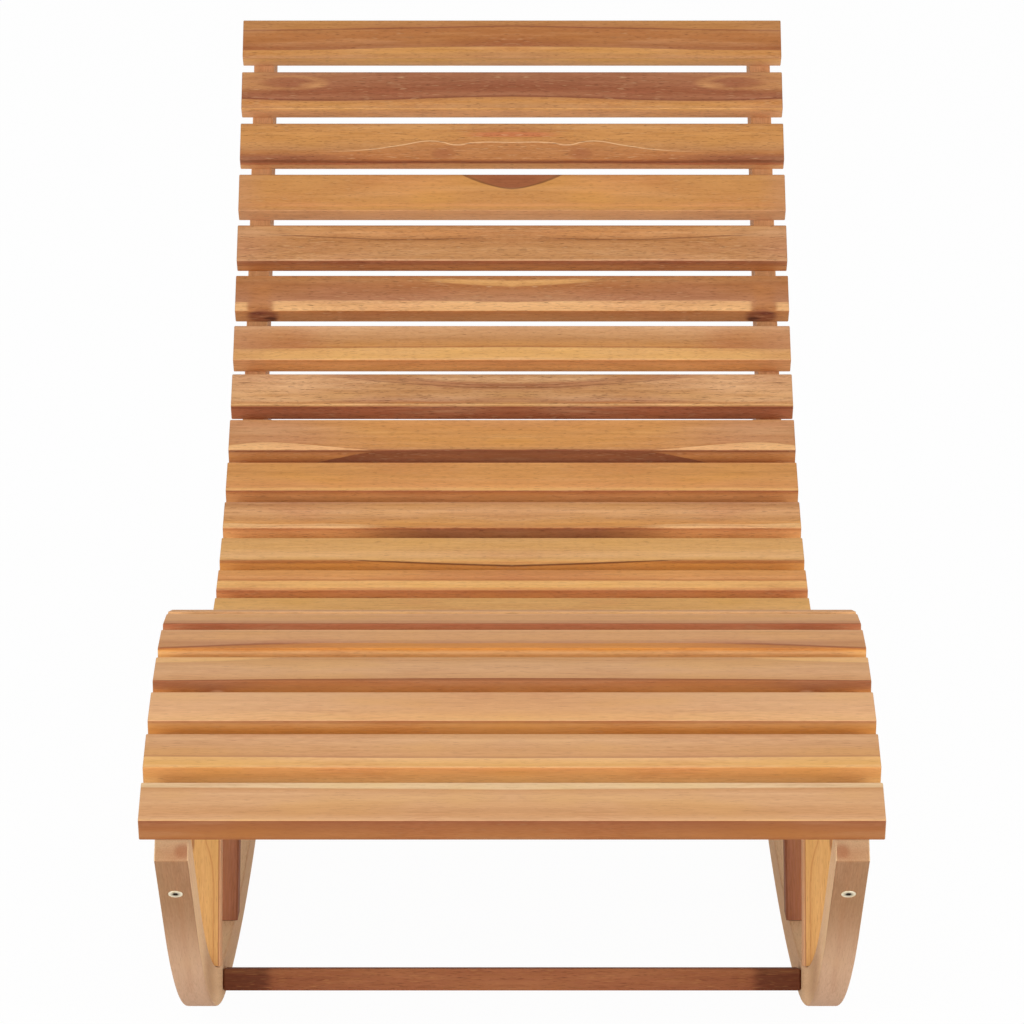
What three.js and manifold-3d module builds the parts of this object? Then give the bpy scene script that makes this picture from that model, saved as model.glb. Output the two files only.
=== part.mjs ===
// Rocking chaise lounge in oiled hardwood. Thirty cross slats lie on two waved side rails.
// Each rail stands on a curved runner through three posts, and the runners rock on the floor.
// Millimetres. X runs across, +Y from the foot end to the head end, +Z is up.
// The origin is on the floor, under the middle of the overall box.

import * as THREE from 'three';
import { mergeVertices } from 'three/addons/utils/BufferGeometryUtils.js';
import Module from 'manifold-3d';

const wasm = await Module();
wasm.setup();

// Seat surface: a chain of arcs from the foot end to the head end, slopes in degrees
const SEAT_START_HEIGHT = 349;
const FOOT_SLOPE = 25.8;
const FOOT_RADIUS = 776;
const KNEE_START_SLOPE = 6;
const KNEE_RADIUS = 434;
const KNEE_END_SLOPE = -31.8;
const HOLLOW_RADIUS = 771;
const HOLLOW_END_SLOPE = 43.6;
const BACK_RADIUS = 2329;

// Slats
const SLAT_COUNT = 30;
const SLAT_LENGTH = 600;
const SLAT_WIDTH = 46.8;
const SLAT_THICKNESS = 20.5;
const SLAT_PITCH = 65.7;
const SLAT_EASING = 1;
const FIRST_SLAT = 20;

// Side frames: the outer faces of rail, runner and posts lie in one plane, inside the slats' ends
const FRAME_INSET = 12;
const RAIL_THICKNESS = 22.5;
const RAIL_DEPTH = 70;
const RAIL_END_ROUND = 14;
const RUNNER_THICKNESS = 27.5;
const RUNNER_DEPTH = 35;
const POST_THICKNESS = 30;
const POST_DEPTH = 35;
const FRAME_EASING = 1.6;

// Runner: a straight nose, a front bend, the rocking sole and a rear bend up to the rail
const NOSE_INSET = 21.4;
const NOSE_SLOPE = 43;
const FRONT_BEND_RADIUS = 720;
const SOLE_RADIUS = 2900;
const SOLE_REAR_SLOPE = 4;
const SOLE_FACET = 52;
const SOLE_CONTACT = 900;
const REAR_JOINT_SHARE = 0.77;

// Posts, measured along the runner from the point that touches the floor
const FRONT_POST_PLACE = -543;
const MIDDLE_POST_PLACE = -247;
const MIDDLE_POST_LEAN = 31;
const REAR_POST_PLACE = 325;
const TENON_LENGTH = 16;
const TENON_THICKNESS = 10;
const TENON_SHOULDER = 5;

// Crossbars between the runners, measured the same way
const CROSSBAR_WIDTH = 46.8;
const CROSSBAR_THICKNESS = 19.5;
const CROSSBAR_PLACES = [-448, 380];
const CROSSBAR_TILTS = [-17.5, 24];

// Fittings: flat-headed socket bolts that draw into barrel nuts
const BOLT_HEAD_RADIUS = 6.1;
const BOLT_HEAD_THICKNESS = 2.6;
const BOLT_HEAD_EASING = 0.5;
const BOLT_RADIUS = 3;
const BOLT_PAST_NUT = 8;
const SOCKET_RADIUS = 2.3;
const SOCKET_DEPTH = 1.7;
const NUT_RADIUS = 5;
const NUT_LENGTH = 14;
const NUT_DEPTH = 30;
const NUT_RECESS = 0.6;
const FRONT_BOLT_FROM_TIP = 63;
const REAR_BOLT_FROM_END = 33;

// Clearances
const SEAT_GAP = 0.3;
const JOINT_GAP = 0.3;
const OVERRUN = 12;

// How finely curves are divided
const CORNER_STEPS = 2;
const FRONT_BEND_STEPS = 14;
const REAR_BEND_STEPS = 22;
const END_ROUND_STEPS = 5;
const ROUND_SIDES = 20;

// Colours of the wood and the fittings, with roughness and metalness
const SLAT_COLOURS = ['#c98a55', '#bd7a45', '#d39a63', '#b9743f', '#cf9159'];
const RAIL_FINISH = { color: '#b87743', roughness: 0.55, metalness: 0 };
const RUNNER_FINISH = { color: '#c99468', roughness: 0.55, metalness: 0 };
const POST_FINISH = { color: '#cf9a58', roughness: 0.55, metalness: 0 };
const CROSSBAR_FINISH = { color: '#9a5b34', roughness: 0.55, metalness: 0 };
const BOLT_FINISH = { color: '#c8b48a', roughness: 0.35, metalness: 1 };
const NUT_FINISH = { color: '#a9a59b', roughness: 0.4, metalness: 1 };
const SLAT_ROUGHNESS = 0.5;

const RAIL_DROP = SLAT_THICKNESS + SEAT_GAP;
const RAIL_UNDERSIDE = RAIL_DROP + RAIL_DEPTH;
const RAIL_LENGTH = FIRST_SLAT + (SLAT_COUNT - 1) * SLAT_PITCH + SLAT_WIDTH / 2;
const OUTER_FACE = SLAT_LENGTH / 2 - FRAME_INSET;
const RUNNER_INNER_FACE = OUTER_FACE - RUNNER_THICKNESS;
const RUNNER_MIDDLE = OUTER_FACE - RUNNER_THICKNESS / 2;

const radians = THREE.MathUtils.degToRad;

// The place that lies a distance further along a path of steady curvature
function advance(start, curvature, distance) {
  if (curvature === 0) {
    return {
      y: start.y + Math.cos(start.slope) * distance,
      z: start.z + Math.sin(start.slope) * distance,
      slope: start.slope,
    };
  }
  const slope = start.slope + curvature * distance;
  return {
    y: start.y + (Math.sin(slope) - Math.sin(start.slope)) / curvature,
    z: start.z - (Math.cos(slope) - Math.cos(start.slope)) / curvature,
    slope,
  };
}

// A line in the side view, made of straight and round stretches that run on smoothly
class Path {
  constructor(y, z, slope) {
    this.end = { y, z, slope };
    this.length = 0;
    this.stretches = [];
  }

  add(curvature, length) {
    this.stretches.push({ start: this.end, from: this.length, curvature, length });
    this.end = advance(this.end, curvature, length);
    this.length += length;
    return this;
  }

  line(length) {
    return this.add(0, length);
  }

  arc(radius, endSlope) {
    const turn = endSlope - this.end.slope;
    return this.add(Math.sign(turn) / radius, Math.abs(turn) * radius);
  }

  at(distance) {
    const reached = this.stretches.filter((stretch) => stretch.from <= distance);
    const stretch = reached.length > 0 ? reached[reached.length - 1] : this.stretches[0];
    return advance(stretch.start, stretch.curvature, distance - stretch.from);
  }

  // The distances that divide one stretch into equal steps, without its last end
  divide(index, steps) {
    const { from, length } = this.stretches[index];
    return Array.from({ length: steps }, (_, step) => from + (length * step) / steps);
  }
}

// A point beside a place on a path: along it, and above it square to it
function beside(place, along, above) {
  return {
    y: place.y + Math.cos(place.slope) * along - Math.sin(place.slope) * above,
    z: place.z + Math.sin(place.slope) * along + Math.cos(place.slope) * above,
    slope: place.slope,
  };
}

function makeSeatPath() {
  const path = new Path(0, SEAT_START_HEIGHT, radians(FOOT_SLOPE));
  path.arc(FOOT_RADIUS, radians(KNEE_START_SLOPE));
  path.arc(KNEE_RADIUS, radians(KNEE_END_SLOPE));
  path.arc(HOLLOW_RADIUS, radians(HOLLOW_END_SLOPE));
  return path.add(1 / BACK_RADIUS, SLAT_PITCH);
}

const seat = makeSeatPath();

function slatPlace(index) {
  return seat.at(FIRST_SLAT + index * SLAT_PITCH);
}

// The underside of the rail, station by station
function railUnderside(steps, from, to, extra) {
  return Array.from({ length: steps + 1 }, (_, step) => {
    const place = seat.at(from + ((to - from) * step) / steps);
    return beside(place, 0, -RAIL_UNDERSIDE - extra);
  });
}

// The lower edge of the runner. The front bend and the sole meet at a slope that makes the
// nose run out straight to its corner under the first slat. The rear bend runs from the sole
// to a point on the rail's underside.
function makeRunnerPath() {
  const nose = radians(NOSE_SLOPE);
  const corner = beside(slatPlace(0), NOSE_INSET - SLAT_WIDTH / 2, -RAIL_DROP);
  const tip = beside({ y: corner.y, z: corner.z, slope: -nose }, 0, -RUNNER_DEPTH);
  const run = SOLE_CONTACT - tip.y;
  const rise = run * Math.sin(nose) - tip.z * Math.cos(nose);
  const turn = (rise - FRONT_BEND_RADIUS + SOLE_RADIUS * Math.cos(nose)) / (SOLE_RADIUS - FRONT_BEND_RADIUS);
  const soleStart = nose - Math.acos(turn);
  const bendRun = FRONT_BEND_RADIUS * (Math.sin(nose) - Math.sin(soleStart));
  const soleRun = SOLE_RADIUS * Math.sin(soleStart);
  const path = new Path(tip.y, tip.z, -nose);
  path.line((run - bendRun - soleRun) / Math.cos(nose));
  path.arc(FRONT_BEND_RADIUS, -soleStart);
  path.arc(SOLE_RADIUS, radians(SOLE_REAR_SLOPE));
  const joint = beside(seat.at(REAR_JOINT_SHARE * RAIL_LENGTH), 0, -RAIL_UNDERSIDE);
  const chord = Math.atan2(joint.z - path.end.z, joint.y - path.end.y);
  const endSlope = 2 * chord - path.end.slope;
  const rearRadius = (joint.y - path.end.y) / (Math.sin(endSlope) - Math.sin(path.end.slope));
  path.arc(rearRadius, endSlope);
  path.contact = path.stretches[2].from + SOLE_RADIUS * soleStart;
  return path;
}

const runnerPath = makeRunnerPath();

// Distances along the runner at which its outline has a point. The sole has a flat facet
// centred on the point that touches the floor.
function runnerStations() {
  const sole = runnerPath.stretches[2];
  const facets = Math.ceil(sole.length / SOLE_FACET);
  const solePoints = [];
  for (let count = -facets; count <= facets; count += 1) {
    const distance = runnerPath.contact + (count + 0.5) * SOLE_FACET;
    const room = SOLE_FACET / 4;
    if (distance > sole.from + room && distance < sole.from + sole.length - room) {
      solePoints.push(distance);
    }
  }
  return [
    0,
    ...runnerPath.divide(1, FRONT_BEND_STEPS),
    sole.from,
    ...solePoints,
    ...runnerPath.divide(3, REAR_BEND_STEPS),
    runnerPath.length,
    runnerPath.length + OVERRUN,
  ];
}

// The strip between two heights above the runner's lower edge, as far along it as a last distance
function runnerStrip(low, high, last = Infinity) {
  const stations = runnerStations().filter((distance) => distance <= last);
  const lower = stations.map((distance) => beside(runnerPath.at(distance), 0, low));
  const upper = stations.map((distance) => beside(runnerPath.at(distance), 0, high));
  return [...lower, ...upper.reverse()];
}

// How far a ray in the side view runs before it meets a row of points
function hitDistance(origin, direction, points) {
  let nearest = Infinity;
  for (let index = 1; index < points.length; index += 1) {
    const from = points[index - 1];
    const stepY = points[index].y - from.y;
    const stepZ = points[index].z - from.z;
    const cross = direction.y * stepZ - direction.z * stepY;
    const reach = ((from.y - origin.y) * stepZ - (from.z - origin.z) * stepY) / cross;
    const share = ((from.y - origin.y) * direction.z - (from.z - origin.z) * direction.y) / cross;
    if (reach > 0 && share >= 0 && share <= 1) {
      nearest = Math.min(nearest, reach);
    }
  }
  return nearest;
}

// A closed solid ready to be cut, from a geometry whose faces point outwards
function solidFrom(geometry) {
  const bare = geometry.clone();
  bare.deleteAttribute('normal');
  bare.deleteAttribute('uv');
  const merged = mergeVertices(bare);
  const corners = merged.index.array;
  const kept = [];
  for (let index = 0; index < corners.length; index += 3) {
    const [a, b, c] = [corners[index], corners[index + 1], corners[index + 2]];
    if (a !== b && b !== c && c !== a) {
      kept.push(a, b, c);
    }
  }
  return new wasm.Manifold(new wasm.Mesh({
    numProp: 3,
    vertProperties: Float32Array.from(merged.attributes.position.array),
    triVerts: Uint32Array.from(kept),
  }));
}

function geometryFrom(solid) {
  const { vertProperties, triVerts } = solid.getMesh();
  const geometry = new THREE.BufferGeometry();
  geometry.setAttribute('position', new THREE.BufferAttribute(Float32Array.from(vertProperties), 3));
  geometry.setIndex(new THREE.BufferAttribute(Uint32Array.from(triVerts), 1));
  geometry.computeVertexNormals();
  return geometry;
}

// Turns a shape drawn in Y and Z, and drawn out along X, into place
const SIDE_VIEW = new THREE.Matrix4().makeBasis(
  new THREE.Vector3(0, 1, 0),
  new THREE.Vector3(0, 0, 1),
  new THREE.Vector3(1, 0, 0),
);

// A plank of a side-view outline between two distances across, its long edges eased
function plank(outline, innerX, outerX, easing) {
  const shape = new THREE.Shape(outline.map((point) => new THREE.Vector2(point.y, point.z)));
  const geometry = new THREE.ExtrudeGeometry(shape, {
    depth: outerX - innerX - 2 * easing,
    steps: 1,
    bevelEnabled: easing > 0,
    bevelThickness: easing,
    bevelSize: easing,
    bevelOffset: -easing,
    bevelSegments: 1,
  });
  geometry.translate(0, 0, innerX + easing);
  geometry.applyMatrix4(SIDE_VIEW);
  return solidFrom(geometry);
}

// A plain block of a side-view outline that reaches past a side frame on both faces
function cutter(outline) {
  return plank(outline, OUTER_FACE - POST_THICKNESS - OVERRUN, OUTER_FACE + OVERRUN, 0);
}

// A cylinder that starts at a point and runs along a direction
function drill(start, direction, length, radius) {
  const geometry = new THREE.CylinderGeometry(radius, radius, length, ROUND_SIDES);
  geometry.translate(0, length / 2, 0);
  geometry.applyQuaternion(aim(direction));
  geometry.translate(start.x, start.y, start.z);
  return solidFrom(geometry);
}

function aim(direction) {
  const upright = new THREE.Vector3(0, 1, 0);
  return new THREE.Quaternion().setFromUnitVectors(upright, direction);
}

// The directions along and above a place in the side view
function sideAlong(slope) {
  return new THREE.Vector3(0, Math.cos(slope), Math.sin(slope));
}

function sideAbove(slope) {
  return new THREE.Vector3(0, -Math.sin(slope), Math.cos(slope));
}

const ACROSS = new THREE.Vector3(1, 0, 0);

// The distance from the head of a bolt to the middle of its nut, and what follows from it
function boltPlan(name, head, direction, nutReach, nutAxis, nutMiddle) {
  return {
    name,
    head,
    direction,
    length: nutReach + NUT_RADIUS + BOLT_PAST_NUT,
    nutReach,
    nutAxis,
    nutMiddle,
  };
}

// A bolt that goes square through the runner into the rail
function runnerBolt(name, distance) {
  const place = runnerPath.at(distance);
  const direction = sideAbove(place.slope);
  const joint = beside(place, 0, RUNNER_DEPTH);
  const underside = railUnderside(SLAT_COUNT * 2, FIRST_SLAT, RAIL_LENGTH, 0);
  const reach = Math.min(RUNNER_DEPTH, hitDistance(place, direction, underside));
  const nutReach = reach + JOINT_GAP + NUT_DEPTH;
  const head = new THREE.Vector3(RUNNER_MIDDLE, place.y, place.z);
  const railInner = OUTER_FACE - RAIL_THICKNESS;
  const nutMiddle = railInner + NUT_RECESS + NUT_LENGTH / 2 - RUNNER_MIDDLE;
  return { ...boltPlan(name, head, direction, nutReach, ACROSS, nutMiddle), joint };
}

// The middle of a crossbar, half way up the runner's depth
function crossbarPlace(index) {
  const place = runnerPath.at(runnerPath.contact + CROSSBAR_PLACES[index]);
  const middle = beside(place, 0, RUNNER_DEPTH / 2);
  return { ...middle, slope: radians(CROSSBAR_TILTS[index]) };
}

// A bolt that goes through the runner's outer face into the end of a crossbar
function crossbarBolt(name, index) {
  const place = crossbarPlace(index);
  const head = new THREE.Vector3(OUTER_FACE, place.y, place.z);
  const nutReach = RUNNER_THICKNESS + JOINT_GAP + NUT_DEPTH;
  const nutMiddle = NUT_LENGTH / 2 + NUT_RECESS - CROSSBAR_THICKNESS / 2;
  const inwards = new THREE.Vector3(-1, 0, 0);
  return boltPlan(name, head, inwards, nutReach, sideAbove(place.slope), nutMiddle);
}

const railBolts = [
  runnerBolt('front_bolt', FRONT_BOLT_FROM_TIP),
  runnerBolt('rear_bolt', runnerPath.length - REAR_BOLT_FROM_END),
];
const crossbarBolts = [
  crossbarBolt('front_crossbar_bolt', 0),
  crossbarBolt('rear_crossbar_bolt', 1),
];

// Holes for a bolt: its counterbore, its clearance hole and the blind hole of its nut
function headHole(bolt) {
  const start = bolt.head.clone().addScaledVector(bolt.direction, -OVERRUN);
  const depth = OVERRUN + BOLT_HEAD_THICKNESS + JOINT_GAP;
  return drill(start, bolt.direction, depth, BOLT_HEAD_RADIUS + JOINT_GAP);
}

function shankHole(bolt) {
  return drill(bolt.head, bolt.direction, bolt.length + JOINT_GAP, BOLT_RADIUS + JOINT_GAP);
}

function nutCentre(bolt) {
  const centre = bolt.head.clone().addScaledVector(bolt.direction, bolt.nutReach);
  return centre.addScaledVector(bolt.nutAxis, bolt.nutMiddle);
}

function nutHole(bolt) {
  const depth = NUT_LENGTH + JOINT_GAP + NUT_RECESS + OVERRUN;
  const start = nutCentre(bolt).addScaledVector(bolt.nutAxis, NUT_LENGTH / 2 + JOINT_GAP - depth);
  return drill(start, bolt.nutAxis, depth, NUT_RADIUS + JOINT_GAP);
}

// Posts: the place of the foot, the lean and the length between their two shoulders
function postPlan(name, distance, lean) {
  const foot = beside(runnerPath.at(distance), 0, RUNNER_DEPTH);
  const slope = lean === undefined ? foot.slope : -radians(lean);
  const direction = sideAbove(slope);
  const underside = railUnderside(SLAT_COUNT * 2, FIRST_SLAT, RAIL_LENGTH, 0);
  const length = hitDistance(foot, direction, underside);
  return { name, foot: { ...foot, slope }, length };
}

const posts = [
  postPlan('front_post', runnerPath.contact + FRONT_POST_PLACE),
  postPlan('middle_post', runnerPath.contact + MIDDLE_POST_PLACE, MIDDLE_POST_LEAN),
  postPlan('rear_post', runnerPath.contact + REAR_POST_PLACE),
];

// The four corners of a bar along a post, from one height to another
function postBar(post, low, high, depth) {
  return [
    beside(post.foot, -depth / 2, low),
    beside(post.foot, depth / 2, low),
    beside(post.foot, depth / 2, high),
    beside(post.foot, -depth / 2, high),
  ];
}

// The tenons of a post run into runner and rail. They sit in the middle of the rail.
function tenon(post, clearance) {
  const middle = OUTER_FACE - RAIL_THICKNESS / 2;
  const half = TENON_THICKNESS / 2 + clearance;
  const reach = TENON_LENGTH + clearance;
  const depth = POST_DEPTH - 2 * TENON_SHOULDER + 2 * clearance;
  const bar = postBar(post, -reach, post.length + reach, depth);
  return plank(bar, middle - half, middle + half, 0);
}

function makePost(post) {
  const bar = postBar(post, -POST_DEPTH, post.length + POST_DEPTH, POST_DEPTH);
  const rough = plank(bar, OUTER_FACE - POST_THICKNESS, OUTER_FACE, FRAME_EASING);
  const belowRunnerTop = cutter(runnerStrip(-POST_DEPTH, RUNNER_DEPTH + JOINT_GAP));
  const aboveUnderside = cutter(railStrip(-JOINT_GAP));
  return rough.subtract(belowRunnerTop).subtract(aboveUnderside).add(tenon(post, 0));
}

// The strip from the rail's underside up to the seat surface. A negative rise starts it lower.
function railStrip(rise) {
  const steps = SLAT_COUNT * 2;
  const lower = railUnderside(steps, 0, RAIL_LENGTH + OVERRUN, -rise);
  const upper = Array.from({ length: steps + 1 }, (_, step) => (
    seat.at(((RAIL_LENGTH + OVERRUN) * step) / steps)
  ));
  return [...lower, ...upper.reverse()];
}

// The rail has a flat seat under each slat. Its underside follows the same curve, and its
// lower corner at the head end is rounded.
function railOutline() {
  const top = [];
  for (let index = 0; index < SLAT_COUNT; index += 1) {
    const place = slatPlace(index);
    top.push(beside(place, -SLAT_WIDTH / 2, -RAIL_DROP));
    top.push(beside(place, SLAT_WIDTH / 2, -RAIL_DROP));
  }
  const end = slatPlace(SLAT_COUNT - 1);
  const centre = beside(end, SLAT_WIDTH / 2 - RAIL_END_ROUND, RAIL_END_ROUND - RAIL_UNDERSIDE);
  const corner = Array.from({ length: END_ROUND_STEPS + 1 }, (_, step) => {
    const angle = (Math.PI / 2) * (step / END_ROUND_STEPS);
    return beside(centre, RAIL_END_ROUND * Math.cos(angle), -RAIL_END_ROUND * Math.sin(angle));
  });
  const lastStation = RAIL_LENGTH - SLAT_WIDTH;
  const underside = railUnderside((SLAT_COUNT - 1) * 2, FIRST_SLAT - SLAT_WIDTH / 2, lastStation, 0);
  return [...top, ...corner, ...underside.reverse()];
}

// Everything in front of the runner's upper face, where the rail's front end is cut to it
function noseCutter() {
  const start = runnerPath.at(0);
  const reach = RAIL_DEPTH + RAIL_DROP;
  const length = runnerPath.stretches[0].length;
  return cutter([
    beside(start, -reach, -reach),
    beside(start, length, -reach),
    beside(start, length, RUNNER_DEPTH + JOINT_GAP),
    beside(start, -reach, RUNNER_DEPTH + JOINT_GAP),
  ]);
}

function makeRail() {
  let rail = plank(railOutline(), OUTER_FACE - RAIL_THICKNESS, OUTER_FACE, FRAME_EASING);
  const frontRunner = runnerStrip(-RAIL_UNDERSIDE, RUNNER_DEPTH + JOINT_GAP, runnerPath.contact);
  rail = rail.subtract(noseCutter()).subtract(cutter(frontRunner));
  for (const post of posts) {
    rail = rail.subtract(tenon(post, JOINT_GAP));
  }
  for (const bolt of railBolts) {
    rail = rail.subtract(shankHole(bolt)).subtract(nutHole(bolt));
  }
  return rail;
}

function makeRunner() {
  let runner = plank(runnerStrip(0, RUNNER_DEPTH), RUNNER_INNER_FACE, OUTER_FACE, FRAME_EASING);
  const steps = SLAT_COUNT * 2;
  const from = seat.stretches[2].from;
  const lower = railUnderside(steps, from, RAIL_LENGTH, JOINT_GAP);
  const upper = railUnderside(steps, from, RAIL_LENGTH, -RAIL_DEPTH);
  runner = runner.subtract(cutter([...lower, ...upper.reverse()]));
  for (const post of posts) {
    runner = runner.subtract(tenon(post, JOINT_GAP));
  }
  for (const bolt of [...railBolts, ...crossbarBolts]) {
    runner = runner.subtract(headHole(bolt)).subtract(shankHole(bolt));
  }
  return runner;
}

// The other side's copy of a solid, mirrored across the middle
function mirrored(geometry) {
  const copy = geometry.clone();
  copy.scale(-1, 1, 1);
  const corners = copy.index.array;
  for (let index = 0; index < corners.length; index += 3) {
    [corners[index], corners[index + 1]] = [corners[index + 1], corners[index]];
  }
  copy.computeVertexNormals();
  return copy;
}

// A slat lies along X about its own middle, its top face at Z = 0 and its edges rounded
function makeSlatGeometry() {
  const points = [];
  for (let corner = 0; corner < 4; corner += 1) {
    const right = corner === 0 || corner === 3 ? 1 : -1;
    const up = corner < 2 ? 1 : -1;
    const centreY = right * (SLAT_WIDTH / 2 - SLAT_EASING);
    const centreZ = up * (SLAT_THICKNESS / 2 - SLAT_EASING) - SLAT_THICKNESS / 2;
    for (let step = 0; step <= CORNER_STEPS; step += 1) {
      const angle = (Math.PI / 2) * (corner + step / CORNER_STEPS);
      points.push({
        y: centreY + SLAT_EASING * Math.cos(angle),
        z: centreZ + SLAT_EASING * Math.sin(angle),
      });
    }
  }
  return geometryFrom(plank(points, -SLAT_LENGTH / 2, SLAT_LENGTH / 2, 0));
}

// A crossbar lies along X about its own middle, with the nuts' blind holes in its underside
function makeCrossbarGeometry() {
  const length = 2 * (RUNNER_INNER_FACE - JOINT_GAP);
  const halfWidth = CROSSBAR_WIDTH / 2;
  const halfThickness = CROSSBAR_THICKNESS / 2;
  const outline = [
    { y: -halfWidth, z: -halfThickness },
    { y: halfWidth, z: -halfThickness },
    { y: halfWidth, z: halfThickness },
    { y: -halfWidth, z: halfThickness },
  ];
  let bar = plank(outline, -length / 2, length / 2, FRAME_EASING);
  const boltDepth = NUT_DEPTH + NUT_RADIUS + BOLT_PAST_NUT + JOINT_GAP;
  for (const side of [-1, 1]) {
    const outwards = new THREE.Vector3(side, 0, 0);
    const inner = new THREE.Vector3(side * (length / 2 - boltDepth), 0, 0);
    const nutX = side * (length / 2 - NUT_DEPTH);
    const nutTop = NUT_RECESS + NUT_LENGTH + JOINT_GAP - halfThickness;
    const nutStart = new THREE.Vector3(nutX, 0, -halfThickness - OVERRUN);
    const upwards = new THREE.Vector3(0, 0, 1);
    bar = bar.subtract(drill(inner, outwards, boltDepth + OVERRUN, BOLT_RADIUS + JOINT_GAP));
    const nutDepth = nutTop + halfThickness + OVERRUN;
    bar = bar.subtract(drill(nutStart, upwards, nutDepth, NUT_RADIUS + JOINT_GAP));
  }
  return geometryFrom(bar);
}

// A bolt stands on its own axis: the face of its head at 0, its shank towards +Y
function makeBoltGeometry(length) {
  const profile = [
    [0, 0],
    [BOLT_HEAD_RADIUS - BOLT_HEAD_EASING, 0],
    [BOLT_HEAD_RADIUS, BOLT_HEAD_EASING],
    [BOLT_HEAD_RADIUS, BOLT_HEAD_THICKNESS],
    [BOLT_RADIUS, BOLT_HEAD_THICKNESS],
    [BOLT_RADIUS, length - BOLT_HEAD_EASING],
    [BOLT_RADIUS - BOLT_HEAD_EASING, length],
    [0, length],
  ];
  const points = profile.map(([radius, height]) => new THREE.Vector2(radius, height));
  const bolt = solidFrom(new THREE.LatheGeometry(points, ROUND_SIDES));
  const socket = new THREE.CylinderGeometry(SOCKET_RADIUS, SOCKET_RADIUS, 2 * SOCKET_DEPTH, 6);
  return geometryFrom(bolt.subtract(solidFrom(socket)));
}

// A barrel nut stands on its own axis, and the bolt passes through its middle
function makeNutGeometry(bolt) {
  const barrel = new THREE.CylinderGeometry(NUT_RADIUS, NUT_RADIUS, NUT_LENGTH, ROUND_SIDES);
  const hole = new THREE.CylinderGeometry(
    BOLT_RADIUS + JOINT_GAP,
    BOLT_RADIUS + JOINT_GAP,
    NUT_RADIUS * 3,
    ROUND_SIDES,
  );
  hole.rotateX(Math.PI / 2);
  hole.translate(0, -bolt.nutMiddle, 0);
  return geometryFrom(solidFrom(barrel).subtract(solidFrom(hole)));
}

function addMesh(parent, name, geometry, finish) {
  const mesh = new THREE.Mesh(geometry, new THREE.MeshStandardMaterial(finish));
  mesh.name = name;
  parent.add(mesh);
  return mesh;
}

// Slats are numbered from the foot end
function addSlats(parent) {
  const geometry = makeSlatGeometry();
  for (let index = 0; index < SLAT_COUNT; index += 1) {
    const place = slatPlace(index);
    const number = String(index + 1).padStart(2, '0');
    const color = SLAT_COLOURS[index % SLAT_COLOURS.length];
    const finish = { color, roughness: SLAT_ROUGHNESS, metalness: 0 };
    const slat = addMesh(parent, `slat_${number}`, geometry, finish);
    slat.position.set(0, place.y, place.z);
    slat.rotation.x = place.slope;
  }
}

function addCrossbars(parent) {
  const geometry = makeCrossbarGeometry();
  ['front_crossbar', 'rear_crossbar'].forEach((name, index) => {
    const place = crossbarPlace(index);
    const bar = addMesh(parent, name, geometry, CROSSBAR_FINISH);
    bar.position.set(0, place.y, place.z);
    bar.rotation.x = place.slope;
  });
}

// A turn that lays a nut's Y along its axis and its Z along the bolt
function nutTurn(axis, direction) {
  const side = new THREE.Vector3().crossVectors(axis, direction);
  const basis = new THREE.Matrix4().makeBasis(side, axis, direction);
  return new THREE.Quaternion().setFromRotationMatrix(basis);
}

// The bolts and nuts of one side, on the right at side 1 and on the left at side -1
function addFittings(parent, label, side) {
  for (const bolt of [...railBolts, ...crossbarBolts]) {
    const head = bolt.head.clone();
    const direction = bolt.direction.clone();
    const axis = bolt.nutAxis.clone();
    const centre = nutCentre(bolt);
    for (const vector of [head, direction, axis, centre]) {
      vector.x *= side;
    }
    const mesh = addMesh(parent, `${bolt.name}_${label}`, makeBoltGeometry(bolt.length), BOLT_FINISH);
    mesh.position.copy(head);
    mesh.quaternion.copy(aim(direction));
    const nutName = `${bolt.name.replace('bolt', 'nut')}_${label}`;
    const nut = addMesh(parent, nutName, makeNutGeometry(bolt), NUT_FINISH);
    nut.position.copy(centre);
    nut.quaternion.copy(nutTurn(axis, direction));
  }
}

function addSideFrame(parent, label, side) {
  const frame = new THREE.Group();
  const pieces = [
    ['rail', sideGeometry.rail, RAIL_FINISH],
    ['runner', sideGeometry.runner, RUNNER_FINISH],
    ...posts.map((post, index) => [post.name, sideGeometry.posts[index], POST_FINISH]),
  ];
  for (const [name, geometry, finish] of pieces) {
    addMesh(frame, `${name}_${label}`, side > 0 ? geometry : mirrored(geometry), finish);
  }
  addFittings(frame, label, side);
  parent.add(frame);
}

const sideGeometry = {
  rail: geometryFrom(makeRail()),
  runner: geometryFrom(makeRunner()),
  posts: posts.map((post) => geometryFrom(makePost(post))),
};

const chaise = new THREE.Group();
addSlats(chaise);
addSideFrame(chaise, 'right', 1);
addSideFrame(chaise, 'left', -1);
addCrossbars(chaise);

// The overall box is centred over the origin and stands on the floor
chaise.updateMatrixWorld(true);
const box = new THREE.Box3().setFromObject(chaise, true);
const group = new THREE.Group();
group.add(chaise);
chaise.position.set(0, -(box.min.y + box.max.y) / 2, -box.min.z);
group.updateMatrixWorld(true);

export default group;
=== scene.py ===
"""Looks of the rocking chaise lounge: hardwood slats, rails, runners and fittings.

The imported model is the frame. Slats, rails, runners and bolts are made again here with finer
surfaces in the same places. Posts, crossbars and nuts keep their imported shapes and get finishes.
Lengths are in metres, X runs across, Y from the foot end to the head end, and Z is up.
"""

import logging
import math
from dataclasses import dataclass
from enum import Enum

import bmesh
import bpy
import numpy as np
from mathutils import Matrix, Vector


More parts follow.
